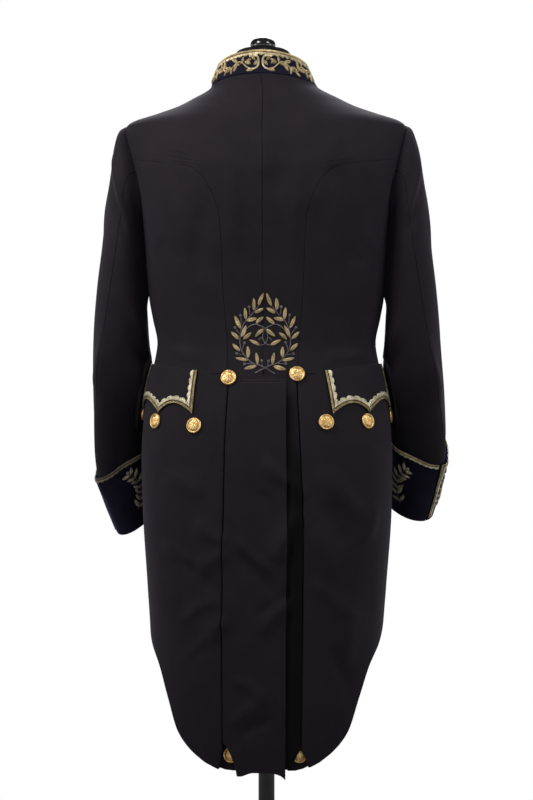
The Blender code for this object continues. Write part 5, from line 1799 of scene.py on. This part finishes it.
# A button's face from its middle to its back: share of the radius and height
BUTTON_FACE = (
    (0.00, 0.0049), (0.12, 0.0050), (0.22, 0.0049), (0.34, 0.0047), (0.46, 0.0045), (0.58, 0.0042),
    (0.68, 0.0038), (0.75, 0.0033), (0.79, 0.0030), (0.84, 0.0034), (0.90, 0.0036), (0.96, 0.0031),
    (1.00, 0.0020), (0.99, 0.0008), (0.94, 0.0000), (0.00, 0.0000),
)
BUTTON_SPOKES = 48
PETALS = 8
BUTTON_RELIEF = 0.0006


def lay_button(bm, origin, frame_of):
    """A domed button with a raised rim, an eight-petalled rose and a ring of beads."""

    def place(across, along):
        row = round(along * (len(BUTTON_FACE) - 1))
        share, height = BUTTON_FACE[row]
        angle = 2 * math.pi * across
        if share < 0.7 and row < 8:
            petal = abs(math.cos(angle * PETALS / 2)) ** 0.6 * math.exp(-(((share - 0.42) / 0.20) ** 2))
            boss = math.exp(-((share / 0.13) ** 2))
            height += BUTTON_RELIEF * (1.4 * petal + boss)
        if 0.80 < share < 0.93 and height > 0.003:
            height += BUTTON_RELIEF * 0.5 * math.cos(angle * 24)
        radius = BUTTON_RADIUS * share
        local = Vector((radius * math.cos(angle), radius * math.sin(angle), height))
        return origin + frame_of @ local, (radius * angle, radius)

    lay_grid(bm, BUTTON_SPOKES, len(BUTTON_FACE) - 1, place)


def cloth_height(point, outward, panels):
    """How far the highest cloth under a button stands above the point."""
    across = outward.orthogonal().normalized()
    other = outward.cross(across)
    reach, spots, highest = 0.02, 16, -1.0
    for share in (0.0, 0.6, 1.0):
        for k in range(spots):
            angle = 2 * math.pi * k / spots
            side = across * math.cos(angle) + other * math.sin(angle)
            start = point + side * BUTTON_RADIUS * share + outward * reach
            for tree in panels:
                distance = tree.ray_cast(start, -outward, 2 * reach)[3]
                if distance is not None:
                    highest = max(highest, reach - distance)
    return highest


TREES = {}


def tree_of(node):
    """The dressed cloth that stands for a node, for finding what lies on it."""
    if node not in TREES:
        mesh = bpy.data.objects["dressed_" + node].data
        corners = [vert.co for vert in mesh.vertices]
        TREES[node] = BVHTree.FromPolygons(corners, [face.vertices for face in mesh.polygons])
    return TREES[node]


def button(name, turn, height, mirror, finish_material, nodes, spin, depth=None):
    """One button, its back just clear of the cloth under it, or at the given depth."""
    point, outward = placed(*on_body(turn, height), mirror)
    if depth is None:
        lift = cloth_height(point, outward, [tree_of(node) for node in nodes]) + TOUCH
    else:
        lift = -depth
    bm = bmesh.new()
    frame_of = outward.to_track_quat("Z", "Y").to_matrix() @ Matrix.Rotation(spin, 3, "Z")
    lay_button(bm, point + outward * lift, frame_of)
    sewn(name, bm, finish_material, 50.0)


def all_buttons(gilt):
    """Waist, tail, flap and front buttons."""
    vary = random.Random(3)

    def put(name, turn, height, mirror, nodes, depth=None):
        button(name, turn, height, mirror, gilt, nodes, vary.uniform(0.0, math.pi), depth)

    for side, mirror in SIDES.items():
        height = WAIST_BUTTON_HEIGHTS[side]
        under = [kind + side for kind in ("back_", "side_body_", "skirt_")] + ["back_left"]
        put("waist_button_" + side, turn_at(WAIST_BUTTON_X, height), height, mirror, under)
        height = TAIL_BUTTON_HEIGHT
        depth = pleat_depth(PLEAT_FOLD_ROWS[0][1], height) - CLOTH / 2
        put("tail_button_" + side, turn_at(TAIL_BUTTON_X[side], height), height, mirror, [], depth)
        for k, (deg, flap_height) in enumerate(FLAP_BUTTON_ROWS[side]):
            under = ["skirt_" + side, "flap_" + side]
            put(f"flap_button_{side}_{k + 1}", math.radians(deg), flap_height, mirror, under)
    for k, height in enumerate(spaced(FRONT_BUTTON_LOW, FRONT_BUTTON_HIGH, FRONT_BUTTONS - 1)):
        put(f"front_button_{k + 1}", math.pi, height, 1.0, ["forepart_left", "forepart_right"])


STITCH = 0.0026
STITCH_PITCH = 0.0036
STITCH_RADIUS = 0.00022
TACK_HEIGHTS = (1.0208, 1.0162)
TACK_SPAN = (-0.030, VENT_LAP - 0.0018)


def stitch_row(bm, chart, start, end):
    """A row of stitches sunk a little into the cloth."""
    start, end = np.array(start), np.array(end)
    long = float(np.linalg.norm(end - start))
    way = (end - start) / long
    for k in range(int(long / STITCH_PITCH)):
        a = start + way * STITCH_PITCH * k
        lay_cord(bm, chart, [tuple(a), tuple(a + way * STITCH)], STITCH_RADIUS, 0.001, 5)


def tack(thread):
    """The sewn-down top of the vent: two rows of stitches across the back skirts."""

    def chart(x, z, lift):
        point, facing = on_body(turn_at(x, z), z)
        return placed(point, facing, 1.0, lift)[0]

    bm = bmesh.new()
    for z in TACK_HEIGHTS:
        stitch_row(bm, chart, (TACK_SPAN[0], z), (TACK_SPAN[1], z))
    stitch_row(bm, chart, *((TACK_SPAN[1], z) for z in TACK_HEIGHTS))
    return sewn("vent_tack", bm, thread)


def turned(name, profile, segments, finish_material, centre=(0.0, 0.0), smooth_deg=35.0):
    """A turned solid. The profile runs from the axis, out and up, and back to the axis."""
    bm = bmesh.new()
    verts = [bm.verts.new((radius, 0.0, height)) for radius, height in profile]
    edges = [bm.edges.new(pair) for pair in zip(verts, verts[1:])]
    bmesh.ops.spin(
        bm, geom=verts + edges, axis=(0, 0, 1), cent=(0, 0, 0),
        angle=2 * math.pi, steps=segments, use_merge=True,
    )
    bmesh.ops.remove_doubles(bm, verts=bm.verts, dist=1e-6)
    bmesh.ops.translate(bm, verts=bm.verts, vec=(*centre, 0.0))
    face_outwards(bm)
    return finish(name, bm, finish_material, smooth_deg)


def rounded(points, radius, steps=4):
    """A turned profile with its corners rounded."""
    found = [points[0]]
    for before, here, after in zip(points, points[1:], points[2:]):
        b, h, a = Vector(before), Vector(here), Vector(after)
        reach = min(radius, (b - h).length * 0.45, (a - h).length * 0.45)
        p, q = h + (b - h).normalized() * reach, h + (a - h).normalized() * reach
        found += [tuple(p.lerp(h, t).lerp(h.lerp(q, t), t)) for t in spaced(0.0, 1.0, steps)]
    return [*found, points[-1]]


def form_torso(finish_material):
    """The dress form's body: the coat's section drawn in, flat where the arms would start."""
    bm = bmesh.new()
    heights = []
    for low, high in zip(FORM_HEIGHTS, FORM_HEIGHTS[1:]):
        heights += spaced(low, high, 3)[:-1]
    heights.append(FORM_HEIGHTS[-1])
    rows = len(heights) - 1
    across, up = numbered_grid(bm, FORM_COLS, rows)
    for vert in bm.verts:
        height = heights[vert[up]]
        from_end = min(height - FORM_BOTTOM, FORM_TOP - height)
        rounding = FORM_EDGE_ROUND * (1.0 - math.sqrt(1.0 - (1.0 - min(from_end / 0.006, 1.0)) ** 2))
        turn = 2 * math.pi * vert[across] / FORM_COLS
        inset = FORM.at(height, "inset") + FORM_FRONT_EXTRA * ease(0.0, 0.5, -math.cos(turn))
        point, _ = on_body(turn, height, -inset - rounding)
        if vert[up] in (0, rows):
            point.z = height
        point.x = min(max(point.x, -ARM_PLATE), ARM_PLATE)
        vert.co = settled(point)
    bmesh.ops.remove_doubles(bm, verts=bm.verts, dist=1e-5)
    bmesh.ops.holes_fill(bm, edges=[edge for edge in bm.edges if edge.is_boundary], sides=0)
    face_outwards(bm)
    return finish("form_torso", bm, finish_material)


def form_fittings(gloss, satin, steel):
    """Neck cap, finial, the flange under the form, the pole and the base."""
    top, wide, thick = FORM_TOP + TOUCH, CAP_RADIUS, CAP_THICK
    centre = (SETTLE_ROWS[-1][1], 0.0)
    turned("neck_cap", rounded((
        (0.0, top), (wide - 0.0015, top), (wide, top + 0.002), (wide, top + 0.006),
        (wide - 0.005, top + 0.0125), (wide - 0.014, top + 0.0165), (wide - 0.024, top + thick),
        (0.0, top + thick),
    ), 0.003), 72, satin, centre)
    high = top + thick + TOUCH
    middle = high + 0.0032
    knob = [(0.0, high), (FINIAL_RADIUS - 0.0022, high), (FINIAL_RADIUS - 0.0004, high + 0.0012)]
    for deg in spaced(0.0, 90.0, 20):
        angle = math.radians(deg)
        knob.append((
            FINIAL_RADIUS * max(math.cos(angle), 0.0), middle + (FINIAL_TALL - 0.0032) * math.sin(angle),
        ))
    turned("finial", knob, 56, gloss, centre)
    low = FORM_BOTTOM - TOUCH
    turned("flange", rounded((
        (0.0, low - 0.006), (FLANGE_RADIUS - 0.001, low - 0.006), (FLANGE_RADIUS, low - 0.005),
        (FLANGE_RADIUS, low), (0.0, low),
    ), 0.0015), 64, steel)
    foot, head = BASE_THICK + 0.010 + TOUCH, low - 0.006 - TOUCH
    collar_low = head - 0.060
    turned("pole", rounded((
        (0.0, foot), (POLE_RADIUS, foot), (POLE_RADIUS, foot + 0.060), (POLE_RADIUS + 0.0035, foot + 0.062),
        (POLE_RADIUS + 0.0035, foot + 0.074), (POLE_RADIUS, foot + 0.076), (POLE_RADIUS, collar_low),
        (POLE_RADIUS + 0.004, collar_low + 0.003), (POLE_RADIUS + 0.004, head - 0.020),
        (POLE_RADIUS + 0.009, head - 0.002), (POLE_RADIUS + 0.009, head), (0.0, head),
    ), 0.0015), 48, steel)
    turned("base", rounded((
        (0.0, 0.0), (BASE_RADIUS - 0.002, 0.0), (BASE_RADIUS, 0.002), (BASE_RADIUS, 0.008),
        (BASE_RADIUS - 0.005, BASE_THICK - 0.001), (0.036, BASE_THICK), (0.024, BASE_THICK + 0.004),
        (0.020, BASE_THICK + 0.010), (0.0, BASE_THICK + 0.010),
    ), 0.004), 96, steel)


CAMERA_TURN = math.radians(2.7)
CAMERA_AWAY = 4.5
CAMERA_HEIGHT = 0.99
FRAME_HEIGHT = 1.24
SENSOR = 24.0
# The surround overhead and underfoot: the rise from and to which it changes, and its strength at both
SURROUND_FADES = ((0.143, 0.24, 1.0, 0.05), (-0.32, -0.21, 0.12, 1.0))
# Area lights: place, size, power and colour; each looks at the coat's chest
LIGHTS = (
    ((-1.10, -0.95, 2.80), 0.6, 3.6, (1.0, 0.98, 0.96)),
    ((1.25, -0.90, 2.70), 0.6, 1.7, (0.97, 0.98, 1.0)),
    ((-2.1, -0.8, 1.70), 0.8, 1.5, (1.0, 1.0, 1.0)),
    ((2.1, -0.8, 1.70), 0.8, 1.1, (1.0, 1.0, 1.0)),
    ((0.0, 1.8, 2.9), 1.6, 9.0, (1.0, 1.0, 1.0)),
)
LAMP_SPREAD = math.radians(56.0)
LIGHT_TARGET = Vector((0.0, 0.0, 1.34))


def surround(tree):
    """A white surround that the camera sees, dark overhead so that the light comes from the softboxes."""
    background = tree.nodes["Background"]
    background.inputs["Color"].default_value = (1.0, 1.0, 1.0, 1.0)
    where, split = tree.nodes.new("ShaderNodeTexCoord"), tree.nodes.new("ShaderNodeSeparateXYZ")
    both = tree.nodes.new("ShaderNodeMath")
    both.operation = "MULTIPLY"
    tree.links.new(where.outputs["Object"], split.inputs[0])
    for k, limits in enumerate(SURROUND_FADES):
        fade = tree.nodes.new("ShaderNodeMapRange")
        fade.interpolation_type = "SMOOTHSTEP"
        for socket, value in zip(("From Min", "From Max", "To Min", "To Max"), limits):
            fade.inputs[socket].default_value = value
        tree.links.new(split.outputs["Z"], fade.inputs["Value"])
        tree.links.new(fade.outputs[0], both.inputs[k])
    tree.links.new(both.outputs[0], background.inputs["Strength"])


def studio():
    """Camera at the photograph's angle, soft light, a pale floor and a white surround."""
    scene = bpy.context.scene
    camera = bpy.data.objects.new("camera", bpy.data.cameras.new("camera"))
    scene.collection.objects.link(camera)
    camera.location = (
        CAMERA_AWAY * math.sin(CAMERA_TURN), -CAMERA_AWAY * math.cos(CAMERA_TURN), CAMERA_HEIGHT,
    )
    camera.rotation_euler = (math.pi / 2, 0.0, CAMERA_TURN)
    camera.data.sensor_fit = "VERTICAL"
    camera.data.sensor_height = SENSOR
    camera.data.lens = SENSOR * CAMERA_AWAY / FRAME_HEIGHT
    scene.camera = camera
    scene.view_settings.view_transform = "Standard"
    for k, (spot, size, power, colour) in enumerate(LIGHTS):
        lamp = bpy.data.lights.new(f"softbox_{k + 1}", "AREA")
        lamp.size, lamp.energy, lamp.color = size, power, colour
        lamp.spread = LAMP_SPREAD
        holder = bpy.data.objects.new(lamp.name, lamp)
        scene.collection.objects.link(holder)
        holder.location = spot
        holder.rotation_euler = (LIGHT_TARGET - Vector(spot)).to_track_quat("-Z", "Y").to_euler()
    world = bpy.data.worlds.new("surround")
    world.use_nodes = True
    scene.world = world
    surround(world.node_tree)
    bm = bmesh.new()
    bmesh.ops.create_circle(bm, cap_ends=True, segments=96, radius=2.4)
    mesh = bpy.data.meshes.new("floor")
    bm.to_mesh(mesh)
    bm.free()
    paint = Paint("pale_floor", "steel")
    paint.feed("Base Color", paint.blend(paint.noise(3.0, 3.0), (0.42, 0.42, 0.42), (0.46, 0.46, 0.455)))
    paint.feed("Roughness", paint.noise(40.0, 2.0) * 0.1 + 0.7)
    mesh.materials.append(paint.made)
    floor = bpy.data.objects.new("floor", mesh)
    floor.location.z = -0.0005
    scene.collection.objects.link(floor)


def dress():
    """Makes every piece of the coat, its form and its trim."""
    wool, velvet, gilt = wool_cloth(), velvet_cloth(), gilt_metal()
    # Wools with painted shadow under the vent's lap, and with painted shade low on the undersleeves
    painted_lap_shadow, inner = wool_cloth("wool_painted_lap_shadow", painted_lap_shadow=True), wool_cloth("wool_painted_arm_shade", inner=True)
    thread = {name: metal_thread(name, *look) for name, look in THREADS.items()}
    lace, collar_lace = gold_lace("gold_lace", LACE_COLOURS), gold_lace("collar_lace", COLLAR_LACE_COLOURS)
    # The left cuff's lace is the darker copy: painted shade
    cuff_lace = {"left": gold_lace("shaded_lace", SHADED_LACE_COLOURS), "right": lace}
    trims = {}
    for side in SIDES:
        back_panel(side, wool if side == "left" else painted_lap_shadow)
        side_body(side, wool)
        forepart(side, wool)
        skirt(side, wool)
        flap(side, wool)
        sleeve_piece("topsleeve_" + side, side, FORE_SEAM_DEG - 360, wool)
        # The undersleeves' wool carries painted shade low on the arm
        sleeve_piece("undersleeve_" + side, side, FORE_SEAM_DEG, inner)
        cuff(side, velvet)
        trims["flap_" + side] = [flap_braid(side, lace)]
        # The cuffs' leaves use the dimmer bullion and the left cuff the darker lace: painted shade
        trims["cuff_" + side] = cuff_embroidery(
            side, thread["shaded_bullion"], thread["silver_thread"], cuff_lace[side]
        )
    collar(velvet)
    trims["collar"] = [
        *collar_embroidery(thread["gold_bullion"], thread["gold_cord"]), collar_braid(collar_lace),
    ]
    trims["back_left"] = [
        *wreath(thread["antique_bullion"], thread["silver_thread"]), tack(thread["grey_silk"]),
    ]
    all_buttons(gilt)
    form_torso(knitted_jersey())
    form_fittings(black_lacquer(), black_satin(), black_steel())
    return trims


studio()
dress()
